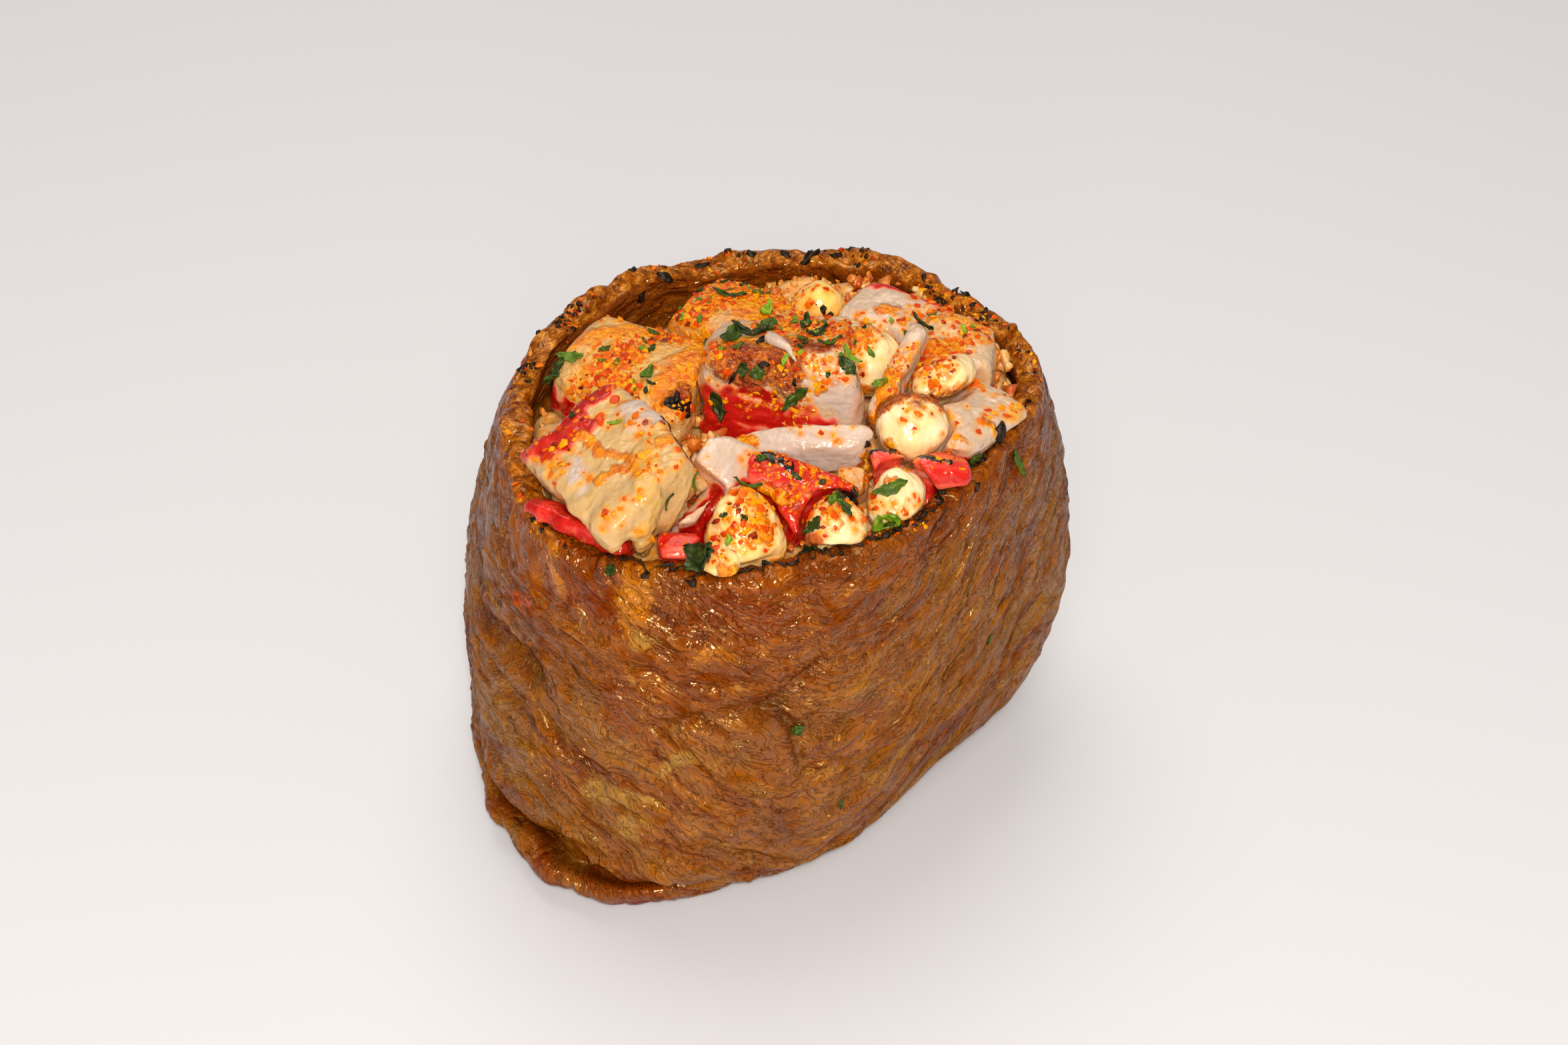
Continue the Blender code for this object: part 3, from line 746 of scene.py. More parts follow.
# %% Strokes on the flakes: kind, width and lift in millimetres, and the route in parts of the box
FLAKE_STROKES = {
    "crab_left": (
        ("blush", 1.6, 0.0, ((0.05, 0.6, 0.25), (0.12, 0.75, 0.4))),
        ("clean", 2.4, 0.45, ((0.8, 0.55, 0.92), (0.72, 0.42, 0.95))),
        ("clean", 1.6, 0.0, ((0.3, 0.6, 0.66), (0.22, 0.45, 0.55))),
        ("tan", 2.4, -1.3, ((0.8, 0.1, 0.7), (0.65, 0.05, 0.4), (0.5, 0.02, 0.15))),
        ("red", 1.2, 0.0, ((0.2, 0.98, 0.42), (0.3, 0.98, 0.5))),
        ("red", 2.0, 0.35, ((0.34, 0.86, 0.61), (0.42, 0.78, 0.69), (0.51, 0.76, 0.74))),
        ("red", 1.4, 0.3, ((0.51, 0.8, 0.76), (0.65, 0.86, 0.8), (0.8, 0.83, 0.88))),
        ("glaze", 0.8, 0.0, ((0.47, 0.7, 0.74), (0.42, 0.52, 0.78), (0.46, 0.36, 0.85), (0.42, 0.28, 0.87))),
        ("glaze", 0.9, 0.0, ((0.42, 0.28, 0.87), (0.34, 0.35, 0.8), (0.27, 0.39, 0.74))),
        ("glaze", 0.8, 0.0, ((0.69, 0.23, 0.98), (0.6, 0.25, 0.95))),
        ("cream", 1.7, 0.4, ((0.66, 0.3, 0.96), (0.51, 0.28, 0.9), (0.38, 0.13, 0.9), (0.24, 0.06, 0.54))),
        ("cream", 1.3, 0.25, ((0.24, 0.06, 0.54), (0.25, 0.08, 0.14))),
        ("char", 0.4, 0.1, ((0.8, 0.43, 0.91), (0.73, 0.26, 0.93), (0.67, 0.11, 0.92))),
        ("red", 0.9, -0.1, ((0.12, 0.42, 0.2), (0.1, 0.34, 0.25))),
    ),
    "crab_left_under": (),
    "crab_back_left": (
        ("red", 2.2, 0.0, ((0.0, 0.8, 0.4), (0.05, 0.72, 0.2))),
        ("glaze", 2.4, 0.1, ((0.93, 0.38, 0.9), (0.59, 0.25, 0.9), (0.4, 0.15, 0.8))),
        ("glaze", 1.6, 0.0, ((0.3, 0.9, 0.93), (0.66, 0.69, 0.98))),
        ("toast", 1.2, 0.15, ((0.39, 0.13, 0.79), (0.5, 0.16, 0.75))),
        ("char", 0.8, 0.2, ((0.36, 0.12, 0.79), (0.42, 0.06, 0.7))),
        ("char", 0.4, 0.1, ((0.45, 0.1, 0.72), (0.71, 0.18, 0.69))),
    ),
    "crab_centre": (
        ("glaze", 2.6, 0.1, ((0.24, 0.72, 0.98), (0.42, 0.5, 1.0), (0.6, 0.5, 0.98))),
        ("glaze", 0.8, 0.0, ((0.5, 0.3, 0.9), (0.46, 0.22, 0.72))),
        ("toast", 2.4, 0.15, ((0.15, 0.64, 0.92), (0.23, 0.51, 0.88), (0.34, 0.4, 0.84))),
        ("toast", 1.2, 0.1, ((0.5, 0.5, 0.98), (0.6, 0.3, 0.98))),
        ("clean", 2.0, 0.0, ((0.44, 0.27, 0.8), (0.5, 0.17, 0.7), (0.56, 0.05, 0.51))),
        ("red", 2.5, 0.0, ((0.02, 0.72, 0.48), (0.13, 0.54, 0.42), (0.24, 0.40, 0.34), (0.40, 0.20, 0.25))),
        ("red", 2.2, 0.0, ((0.03, 0.7, 0.2), (0.2, 0.42, 0.12), (0.42, 0.15, 0.1))),
        ("red", 0.8, 0.0, ((0.17, 0.55, 0.66), (0.26, 0.4, 0.6))),
    ),
    "crab_back": (
        ("clean", 1.0, 0.0, ((0.49, 0.82, 0.93),)),
        ("glaze", 2.6, 0.1, ((0.9, 0.6, 0.85), (0.5, 0.45, 0.98), (0.6, 0.2, 0.9))),
        ("glaze", 1.5, 0.0, ((0.13, 0.6, 0.7), (0.17, 0.4, 0.7))),
    ),
    "crab_back_right": (
        ("red", 1.5, 0.0, ((0.66, 0.95, 0.95), (0.9, 0.6, 0.97), (0.97, 0.25, 0.93))),
        ("red", 2.4, 0.0, ((0.95, 0.3, 0.6), (0.95, 0.12, 0.4))),
        ("glaze", 0.9, 0.0, ((0.35, 0.6, 0.96), (0.5, 0.5, 0.98))),
        ("char", 0.4, 0.1, ((0.92, 0.35, 0.95),)),
    ),
    "crab_right": (
        ("glaze", 1.5, 0.25, ((0.72, 0.85, 0.94), (0.88, 0.62, 0.95), (0.98, 0.5, 0.9))),
        ("glaze", 1.5, 0.1, ((0.36, 0.43, 0.95), (0.55, 0.5, 0.98), (0.4, 0.63, 0.98))),
    ),
    "crab_slab_right": (
        ("glaze", 0.8, 0.0, ((0.1, 0.25, 0.63), (0.2, 0.2, 0.75))),
        ("glaze", 0.7, 0.0, ((0.5, 0.25, 0.84), (0.52, 0.12, 0.78))),
        ("cream", 1.2, 0.1, ((0.92, 0.2, 0.66), (0.75, 0.1, 0.6))),
        ("red", 1.2, 0.0, ((0.02, 0.3, 0.5), (0.3, 0.05, 0.3))),
    ),
    "crab_strip_right": (
        ("glaze", 1.1, 0.0, ((0.4, 0.4, 0.64), (0.2, 0.2, 0.5), (0.05, 0.1, 0.2))),
    ),
    "crab_strip_centre": (
        ("glaze", 0.9, 0.0, ((0.16, 0.72, 0.7), (0.2, 0.6, 0.6))),
        ("glaze", 1.2, 0.0, ((0.9, 0.02, 0.6), (0.66, 0.02, 0.3))),
    ),
    "crab_standing": (
        ("red", 1.4, 0.0, ((0.25, 0.5, 0.15), (0.44, 0.42, 0.33), (0.55, 0.33, 0.46))),
        ("red", 1.5, 0.0, ((0.1, 0.3, 0.25), (0.35, 0.25, 0.32), (0.55, 0.2, 0.42), (0.68, 0.04, 0.6))),
        ("red", 1.6, -0.1, ((0.1, 0.1, 0.1), (0.36, 0.2, 0.1), (0.55, 0.15, 0.2), (0.7, 0.1, 0.3))),
    ),
    "crab_shred": (
        ("glaze", 0.8, 0.0, ((0.4, 0.2, 0.6), (0.6, 0.2, 0.9))),
    ),
    "crab_red_front": (
        ("glaze", 0.8, 0.1, ((0.12, 0.66, 0.76), (0.2, 0.44, 0.7))),
        ("red", 2.4, 0.0, ((0.2, 0.3, 0.4), (0.3, 0.15, 0.2), (0.6, 0.2, 0.3))),
        ("blush", 0.7, 0.0, ((0.8, 0.2, 0.5), (0.71, 0.32, 0.37))),
        ("char", 0.7, 0.15, ((0.38, 0.86, 0.98), (0.46, 0.62, 0.92))),
        ("char", 1.1, 0.2, ((0.84, 0.1, 0.62), (0.93, 0.08, 0.34))),
    ),
    "crab_red_right": (
        ("char", 0.45, 0.15, ((0.2, 0.93, 0.98), (0.42, 0.7, 0.92), (0.73, 0.22, 0.88))),
        ("red", 1.2, 0.0, ((0.7, 0.3, 0.6), (0.9, 0.05, 0.4))),
        ("blush", 0.5, 0.0, ((0.4, 0.72, 0.62), (0.6, 0.44, 0.55))),
    ),
    "crab_red_rim": (),
}


# %% Making a flake
def unit_direction(turn, lift):
    flat = math.cos(math.radians(lift))
    return np.array([
        flat * math.cos(math.radians(turn)), flat * math.sin(math.radians(turn)), math.sin(math.radians(lift))])


def grain_axes(turn, lift):
    """The direction of the fibres and two directions across them."""
    along = unit_direction(turn, lift)
    across = np.cross(along, [0.3, 0.2, 1.0])
    across /= np.linalg.norm(across)
    return along, across, np.cross(along, across)


def furrow_and_fray(piece, grain, fray, furrow, seed):
    """Fibres as relief: furrows on the sides, and ends that are pulled out unevenly."""
    points = points_of(piece)
    normals = normals_of(piece)
    along, across, up = grain_axes(*grain)
    middle = points.mean(axis=0)
    place = np.stack([(points - middle) @ axis for axis in (along, across, up)], axis=1)
    half = np.abs(place[:, 0]).max()
    at_end = rise(np.abs(place[:, 0]) / half, 0.45, 0.95)
    bundle = place * np.array([0.0, 1.0, 1.0]) + np.outer(np.sign(place[:, 0]), [9.0 * MM, 0.0, 0.0])
    pull = wander(bundle, 2.2 * MM, seed) + 0.4 * wander(bundle, 0.9 * MM, seed + 1) - 0.4
    side = 1.0 - np.abs(normals @ along)
    lines = ridges(place, (5.0 * MM, 0.8 * MM, 0.8 * MM), seed + 2) - 0.5
    lines += 0.5 * (ridges(place, (2.5 * MM, 0.4 * MM, 0.4 * MM), seed + 3) - 0.5)
    lumps = layered(points, 4.0 * MM, seed + 4, 2)
    push = (1.3 * furrow * lines * side + 0.2 * lumps + 0.03 * wander(points, 0.9 * MM, seed + 7)) * MM
    points = points + normals * push[:, None]
    points += np.outer(np.sign(place[:, 0]) * at_end * fray * pull * MM, along)
    move_points(piece, points)
    add_place(piece, "grain", place)
    return place


def slim(piece, turn, share, shift, droop):
    """Narrow a ribbon across its run to a share of its width.

    It is also shifted sideways and lowered: fully where the run starts and not at all past its middle.
    """
    points = points_of(piece)
    along = unit_direction(turn, 0)[:2]
    across = np.array([-along[1], along[0]])
    run, side = points[:, :2] @ along, points[:, :2] @ across
    middle = np.polyval(np.polyfit(run, side, 1), run)
    at_start = 1.0 - rise((run - run.min()) / np.ptp(run), 0.0, 0.6)
    wanted = middle + (side - middle) * share + shift * MM * (1.0 - (run - run.min()) / np.ptp(run))
    points[:, :2] += np.outer(wanted - side, across)
    points[:, 2] -= droop * MM * at_start
    move_points(piece, points)


RIBBONS = {
    "crab_strip_centre": (-45, 0.48, -2.2, 1.2), "crab_strip_right": (60, 0.7, 0.0, 0.0),
    "crab_standing": (-45, 0.8, 0.0, 0.0)}


def make_flake(node, seed):
    grain, fray, furrow, rounds, start = FLAKES[node]
    piece = new_piece(f"flake_{node}", copy_of(node))
    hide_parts(node)
    refine(piece, FLAKE_VOXEL, rounds)
    if node in RIBBONS:
        slim(piece, *RIBBONS[node])
    place = furrow_and_fray(piece, grain, fray, furrow, seed)
    points = points_of(piece)
    masks, lift = lay_strokes(points, node, FLAKE_STROKES[node], start)
    masks["red"] *= 0.9 + 0.4 * wander(place, (7.0 * MM, 0.9 * MM, 0.9 * MM), seed + 5)
    for kind in ("glaze", "cream"):
        base = start.get(kind, 0.0) * (1.0 - np.clip(1.3 * masks["red"] + masks["bare"], 0.0, 1.0))
        masks[kind] = np.maximum(masks[kind], base)
    move_points(piece, points + normals_of(piece) * lift[:, None] * MM)
    masks["glaze"] *= 1.0 - 0.85 * rise(masks["red"], 0.3, 0.7) * (masks["glaze"] < 0.6)
    for kind, strength in masks.items():
        add_mask(piece, kind, strength)
    return piece


FLAKE_VOXEL = 0.24 * MM
flakes = {node: make_flake(node, 100 + 10 * index) for index, node in enumerate(FLAKES)}
print("flakes:", sum(len(piece.data.polygons) for piece in flakes.values()), "faces")

# %% [markdown]
# ## Crab flesh
#
# One material serves all the flakes, because the strokes carry what differs. The red mask runs through a
# ramp from white over pink to deep crimson, as dye does that soaks into flesh. Chilli oil is amber and
# orange, and so wet that it lowers the roughness. Torched places turn brown and then black.
#
# The flesh is translucent, and without scattering it would look like plaster. Its fibres are read from the
# stored grain, so they follow each flake.


# %% Crab flesh material
def stained(tree, colour, stain, mask, reach, edge, speckle):
    """Lay a stain over a colour where its mask is strong. The speckle frays its edge."""
    strength = calculate(tree, "ADD", mask_of(tree, mask), calculate(tree, "MULTIPLY", speckle, edge))
    strength = spread(tree, strength, reach[0], reach[1])
    return mix_colours(tree, strength, colour, stain), strength


def stained_flesh(name, white, film, fibres, scatter):
    """Flesh or dressing that takes the red, glaze, halo, cream, toast and char masks."""
    material, tree = new_material(name)
    shader = tree.nodes["Principled BSDF"]
    even = object_place(tree)
    if fibres:
        grain = add_node(tree, "ShaderNodeAttribute", attribute_name="grain").outputs["Vector"]
        stretch = add_node(tree, "ShaderNodeMapping", [("Vector", grain)])
        stretch.inputs["Scale"].default_value = (0.16, 1.0, 1.0)
        lines = noise_of(tree, stretch.outputs["Vector"], 1.5, 6.0, 0.6)
    else:
        lines = noise_of(tree, even, 0.35, 3.0, 0.5)
    speckle = noise_of(tree, even, 1.3, 5.0, 0.8)
    colour = ramp(tree, lines, white)
    red = calculate(tree, "MULTIPLY", mask_of(tree, "red"), spread(tree, lines, 0.25, 0.7, 1.15, 0.75))
    dyed = ramp(tree, red, (
        (0.0, (0.80, 0.52, 0.38)), (0.18, (0.80, 0.30, 0.25)), (0.36, (0.78, 0.11, 0.07)),
        (0.6, (0.60, 0.012, 0.008)), (1.0, (0.33, 0.0, 0.0))))
    colour = mix_colours(tree, spread(tree, red, 0.02, 0.16), colour, dyed)
    colour, _ = stained(tree, colour, film, "cream", (0.3, 1.1), 0.5, speckle)
    oil = ramp(tree, noise_of(tree, even, 0.9, 5.0, 0.6), (
        (0.3, (0.84, 0.36, 0.0)), (0.5, (0.76, 0.22, 0.0)), (0.7, (0.58, 0.09, 0.0))))
    halo = ramp(tree, speckle, ((0.35, (0.88, 0.40, 0.0)), (0.6, (0.74, 0.20, 0.0))))
    # Where another piece touches, the flesh is tinted orange: oil that gathers in the gap, and painted shade.
    gap_oil_and_shade_colour, _ = stained(tree, colour, (0.78, 0.24, 0.0), "gap_oil_and_shade", (0.3, 1.3), 0.5, speckle)
    colour = mix_colours(tree, 0.6, colour, gap_oil_and_shade_colour)
    colour, glaze = stained(tree, colour, oil, "glaze", (0.72, 1.5), 1.1, speckle)
    ringed, _ = stained(tree, colour, halo, "halo", (0.35, 1.15), 0.5, speckle)
    colour = mix_colours(tree, 0.65, colour, ringed)
    browned = ramp(tree, noise_of(tree, even, 1.6, 5.0, 0.8), (
        (0.3, (0.10, 0.010, 0.002)), (0.48, (0.34, 0.045, 0.004)), (0.68, (0.62, 0.17, 0.015))))
    colour, toast = stained(tree, colour, browned, "toast", (0.75, 1.45), 1.1, speckle)
    colour, _ = stained(tree, colour, (0.006, 0.005, 0.006), "char", (0.62, 0.85), 0.6, speckle)
    tree.links.new(colour, shader.inputs["Base Color"])
    dry = spread(tree, speckle, 0.35, 0.65, 0.16, 0.36)
    rough = calculate(tree, "SUBTRACT", dry, calculate(tree, "MULTIPLY", glaze, 0.12))
    tree.links.new(rough, shader.inputs["Roughness"])
    shader.inputs["Specular IOR Level"].default_value = 0.4
    shader.inputs["Specular Tint"].default_value = (1.0, 0.8, 0.55, 1.0)
    shader.inputs["Subsurface Weight"].default_value = 0.6
    shader.inputs["Subsurface Radius"].default_value = (1.0, 0.45, 0.2)
    shader.inputs["Subsurface Scale"].default_value = scatter * MM
    shader.inputs["Coat Weight"].default_value = 0.4
    shader.inputs["Coat Roughness"].default_value = 0.08
    relief = bump(tree, lines, 0.1, 0.6) if fibres else None
    swells = bump(tree, noise_of(tree, even, 0.7, 1.0, 0.6), 0.35, 0.8, relief)
    uneven = calculate(tree, "ADD", calculate(tree, "MULTIPLY", glaze, 0.5), calculate(tree, "MULTIPLY", toast, 0.8))
    blister_height = calculate(tree, "MULTIPLY", noise_of(tree, even, 1.9, 2.0, 0.4),
                               calculate(tree, "ADD", uneven, 0.08))
    blisters = bump(tree, blister_height, 0.9, 0.9, swells)
    tree.links.new(blisters, shader.inputs["Normal"])
    tree.links.new(blisters, shader.inputs["Coat Normal"])
    return material


crab_flesh = stained_flesh("crab_flesh", (
    (0.3, (0.52, 0.36, 0.26)), (0.5, (0.58, 0.44, 0.35)), (0.7, (0.63, 0.51, 0.44))), (0.60, 0.36, 0.11), True, 1.4)
for node, piece in flakes.items():
    piece.data.materials.clear()
    piece.data.materials.append(crab_flesh)

# %% [markdown]
# ## A loose sliver
#
# A thin bundle of fibres lies loose on the middle flake. It is a curve with a thickness of its own at every
# point, turned into a mesh, which is the quickest way to a long thin thing that tapers.


# %% Sliver of crab on the middle flake
def sweep(name, route):
    """A round closed rod along places, with a radius in millimetres at each."""
    data = bpy.data.curves.new(name, "CURVE")
    data.dimensions = "3D"
    data.bevel_depth = MM
    data.bevel_resolution = 2
    data.use_fill_caps = True
    spline = data.splines.new("POLY")
    spline.points.add(len(route) - 1)
    for point, (place, radius) in zip(spline.points, route):
        point.co = (*place, 1.0)
        point.radius = radius
    curve = bpy.data.objects.new(f"{name}_route", data)
    bpy.context.scene.collection.objects.link(curve)
    mesh = bpy.data.meshes.new_from_object(curve.evaluated_get(bpy.context.evaluated_depsgraph_get()))
    bpy.data.objects.remove(curve)
    builder = bmesh.new()
    builder.from_mesh(mesh)
    bmesh.ops.remove_doubles(builder, verts=builder.verts, dist=0.001 * MM)
    return new_piece(name, builder)


SLIVER = (
    ((0.43, 0.6, 1.0), 0.15), ((0.43, 0.57, 1.0), 0.7), ((0.42, 0.5, 1.0), 0.6), ((0.41, 0.42, 0.98), 0.35),
    ((0.4, 0.35, 0.95), 0.08))


def sliver_route(piece, node):
    route = []
    for parts, radius in SLIVER:
        met, place, normal, _ = piece.closest_point_on_mesh(Vector(in_box(node, parts)))
        route.append((place + normal * 0.35 * MM, radius))
    return route


sliver = sweep("crab_sliver", sliver_route(flakes["crab_centre"], "crab_centre"))
sliver.data.shade_smooth()
sliver.data.materials.clear()
sliver.data.materials.append(crab_flesh)

# %% [markdown]
# ## Creamy dressing
#
# Dollops of dressing are smooth, because their surface pulls itself tight, so they get low swells and no
# fine relief. They take the same masks as the flesh: browned caps, and amber where chilli grains bleed.


# %% Dressing
DOLLOP_STROKES = {
    "mayo_ball": (
        ("glaze", 2.2, 0.0, ((0.3, 0.95, 0.8), (0.66, 0.7, 0.97), (0.95, 0.35, 0.8))),
        ("toast", 2.0, 0.15, ((0.42, 0.9, 0.9), (0.72, 0.68, 0.95), (0.95, 0.4, 0.85))),
        ("glaze", 0.8, 0.0, ((0.0, 0.45, 0.5), (0.05, 0.3, 0.3))),
    ),
    "mayo_cone": (
        ("glaze", 1.6, 0.05, ((0.86, 0.57, 0.82), (0.92, 0.36, 0.5), (0.7, 0.1, 0.2))),
        ("glaze", 1.2, 0.05, ((0.55, 0.35, 0.7), (0.45, 0.25, 0.6))),
    ),
    "mayo_front": (
        ("glaze", 0.7, 0.05, ((0.35, 0.5, 0.93), (0.4, 0.3, 0.8))),
        ("red", 0.9, 0.0, ((0.02, 0.5, 0.6), (0.05, 0.6, 0.3))),
    ),
    "mayo_front_right": (
        ("glaze", 0.7, 0.0, ((0.3, 0.7, 0.9), (0.32, 0.5, 0.9))),
    ),
    "mayo_ridge": (
        ("glaze", 1.5, 0.05, ((0.3, 0.7, 0.9), (0.45, 0.5, 0.95))),
        ("glaze", 1.2, 0.0, ((0.05, 0.3, 0.4), (0.1, 0.1, 0.4))),
    ),
    "mayo_streak": (
        ("glaze", 1.0, 0.0, ((0.3, 0.1, 0.5), (0.56, 0.05, 0.4))),
        ("toast", 0.6, 0.0, ((0.1, 0.3, 0.5), (0.4, 0.1, 0.4))),
    ),
    "mayo_back": (
        ("glaze", 1.5, 0.05, ((0.6, 0.95, 0.7), (0.75, 0.8, 0.9))),
    ),
    "mayo_drip": (
        ("glaze", 0.9, 0.1, ((0.4, 0.2, 0.5), (0.45, 0.05, 0.2))),
    ),
}


FILMED = {"mayo_ball": 0.15, "mayo_cone": 0.4, "mayo_front": 0.2, "mayo_front_right": 0.15, "mayo_ridge": 0.3,
          "mayo_streak": 0.3, "mayo_back": 0.7, "mayo_drip": 0.4}


def make_dollop(node, seed):
    piece = new_piece(f"dollop_{node}", copy_of(node))
    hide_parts(node)
    refine(piece, FLAKE_VOXEL, 24)
    points = points_of(piece)
    swell = 0.42 * wander(points, 2.8 * MM, seed) + 0.13 * wander(points, 1.1 * MM, seed + 1)
    masks, lift = lay_strokes(points, node, DOLLOP_STROKES[node], {})
    masks["cream"] = np.maximum(masks["cream"], FILMED[node])
    move_points(piece, points + normals_of(piece) * (swell + lift + 0.15)[:, None] * MM)
    for kind, strength in masks.items():
        add_mask(piece, kind, strength)
    return piece


dressing = stained_flesh("creamy_dressing", (
    (0.3, (0.87, 0.63, 0.31)), (0.5, (0.91, 0.70, 0.40)), (0.7, (0.93, 0.77, 0.52))), (0.93, 0.58, 0.10), False, 1.0)
dollops = {node: make_dollop(node, 300 + 10 * index) for index, node in enumerate(DOLLOP_STROKES)}
for piece in dollops.values():
    piece.data.materials.clear()
    piece.data.materials.append(dressing)
print("dollops:", sum(len(piece.data.polygons) for piece in dollops.values()), "faces")

# %% [markdown]
# ## The crumbly bed
#
# Between the flakes lies a bed of crumbs, creamy where the dressing reached it and orange where the oil did.
# The bed's own top is only stirred up, and loose crumbs are scattered over it, thickest where a ray from
# above meets the bed and not a flake. A crumb is a ball of 80 faces, dented by noise.


# %% Bed and crumbs
BED_VOXEL = 0.5 * MM
filling = new_piece("bed_filling", copy_of("filling"))
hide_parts("filling")
refine(filling, BED_VOXEL, 4)
points = points_of(filling)
stir = 0.55 * layered(points, 2.2 * MM, 400, 3) + 0.2
bed_top = rise(points[:, 2], 32.0 * MM, 34.0 * MM)
move_points(filling, points + normals_of(filling) * (stir * bed_top)[:, None] * MM)


def first_below(x, y, pieces):
    """The highest piece under a place in the mouth, and where the ray from above meets it."""
    best = None
    for piece in pieces:
        met, place, normal, _ = piece.ray_cast(Vector((x, y, 0.08)), Vector((0.0, 0.0, -1.0)))
        if met and (best is None or place.z > best[1].z):
            best = (piece, place, normal)
    return best


def onto(place, normal, turn):
    """A matrix that stands a shape on a surface, turned about the normal."""
    stand = Vector(normal).to_track_quat("Z", "Y").to_matrix().to_4x4()
    return Matrix.Translation(place) @ stand @ Matrix.Rotation(turn, 4, "Z")


def add_ball(builder, matrix, sizes, dents, detail, seed):
    """A ball of these sizes, dented by noise. It returns its points."""
    made = bmesh.ops.create_icosphere(builder, subdivisions=detail, radius=0.5)["verts"]
    for vert in made:
        stray = noise.noise(vert.co * 2.3 + Vector((seed, 2.0 * seed, 3.0)))
        vert.co *= 1.0 + dents * stray
        vert.co = Vector(part * size for part, size in zip(vert.co, sizes))
    bmesh.ops.transform(builder, matrix=matrix, verts=made)
    return made


def gather(items, add_one, batch=120):
    """One bmesh with all the items. They are built in small batches, as each step slows as a bmesh grows."""
    whole = bmesh.new()
    for start in range(0, len(items), batch):
        part = bmesh.new()
        shade = part.verts.layers.float.new("shade")
        for item in items[start:start + batch]:
            add_one(part, shade, *item)
        join_meshes(whole, part)
    return whole


def random_direction(dice):
    return Vector((dice.uniform(-1, 1), dice.uniform(-1, 1), dice.uniform(-1, 1))).normalized()


CRUMBS = 420
CRUMB_PILE = 2.2 * MM


def crumb_items():
    """Places and sizes of the crumbs: only where nothing else covers the bed, and piled at the front."""
    above_bed = [*flakes.values(), *dollops.values()]
    low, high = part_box("filling")
    items = []
    while len(items) < CRUMBS:
        x, y = dice.uniform(low[0], high[0]), dice.uniform(low[1], high[1])
        found = first_below(x, y, [filling, pouch, *above_bed])
        if found is not None and found[0] is filling:
            if y > 6.0 * MM and x < 16.0 * MM and dice.random() < 0.85:
                continue
            pile = CRUMB_PILE * dice.random() * (1.0 if y < 6.0 * MM else 0.1)
            largest = 1.8 if y < 6.0 * MM else 1.1
            items.append((found[1] + Vector((0.0, 0.0, pile)), dice.uniform(0.5, largest) * MM))
    return items


def add_crumb(builder, shade, place, size):
    sizes = (size, size * dice.uniform(0.6, 0.9), size * dice.uniform(0.5, 0.8))
    tint = dice.random()
    matrix = onto(place, random_direction(dice), dice.uniform(0, 6))
    for vert in add_ball(builder, matrix, sizes, 1.0, 2, dice.uniform(0, 50)):
        vert[shade] = tint


dice = random.Random(7)
crumbs = new_piece("bed_crumbs", gather(crumb_items(), add_crumb))
crumbs.data.shade_smooth()
print("crumbs:", CRUMBS)


# %% Bed material
def crumb_material():
    material, tree = new_material("creamy_crumbs")
    shader = tree.nodes["Principled BSDF"]
    even = object_place(tree)
    tint = calculate(tree, "ADD", calculate(tree, "MULTIPLY", mask_of(tree, "shade"), 0.5),
                     calculate(tree, "MULTIPLY", noise_of(tree, even, 0.8, 5.0, 0.6), 0.9))
    colour = ramp(tree, tint, (
        (0.35, (0.80, 0.47, 0.20)), (0.5, (0.76, 0.34, 0.07)), (0.65, (0.68, 0.20, 0.012)),
        (0.9, (0.48, 0.08, 0.003))))
    tree.links.new(colour, shader.inputs["Base Color"])
    shader.inputs["Roughness"].default_value = 0.34
    shader.inputs["Subsurface Weight"].default_value = 0.5
    shader.inputs["Subsurface Radius"].default_value = (1.0, 0.45, 0.2)
    shader.inputs["Subsurface Scale"].default_value = 1.2 * MM
    shader.inputs["Coat Weight"].default_value = 0.3
    shader.inputs["Coat Roughness"].default_value = 0.12
    grain = bump(tree, noise_of(tree, even, 2.4, 5.0, 0.5), 0.2, 0.6)
    tree.links.new(grain, shader.inputs["Normal"])
    return material


creamy_crumbs = crumb_material()
for piece in (filling, crumbs):
    piece.data.materials.clear()
    piece.data.materials.append(creamy_crumbs)

# %% [markdown]
# ## Chilli and citrus grains
#
# Ground chilli, orange peel and sesame are strewn over the top. A grain is an angular chip of 20 faces,
# half a millimetre to a millimetre across, flat-shaded so that its facets glint. It lies on the surface of a
# piece, at faces picked at random by area among those that look up. Noise thins the grains out in some
# places and crowds them in others, as they fall in pinches. Each grain carries a shade from yellow to dark
# red.


# %% Grains: on each piece, how many chips and how much dust, and the largest size in millimetres
GRAINS = {
    "crab_left": (80, 60, 1.1), "crab_back_left": (430, 700, 1.0), "crab_centre": (360, 480, 0.9),
    "crab_back": (400, 700, 0.9), "crab_back_right": (60, 50, 1.0), "crab_right": (150, 160, 0.9),
    "crab_slab_right": (30, 20, 1.0), "crab_strip_right": (50, 60, 0.7), "crab_strip_centre": (12, 16, 0.8),
    "crab_standing": (8, 8, 0.7), "crab_shred": (5, 6, 0.6), "crab_red_front": (80, 110, 0.8),
    "crab_red_right": (12, 8, 0.6), "crab_red_rim": (5, 5, 0.6), "mayo_ball": (10, 10, 0.8),
    "mayo_cone": (80, 100, 1.1), "mayo_front": (50, 50, 1.0), "mayo_front_right": (30, 20, 0.9),
    "mayo_ridge": (60, 90, 0.9), "mayo_streak": (36, 50, 0.9), "mayo_back": (30, 30, 0.9), "mayo_drip": (12, 10, 0.9),
}
RIM_GRAINS = (60, 160)
BED_GRAINS = (110, 200)
DUST = 0.55


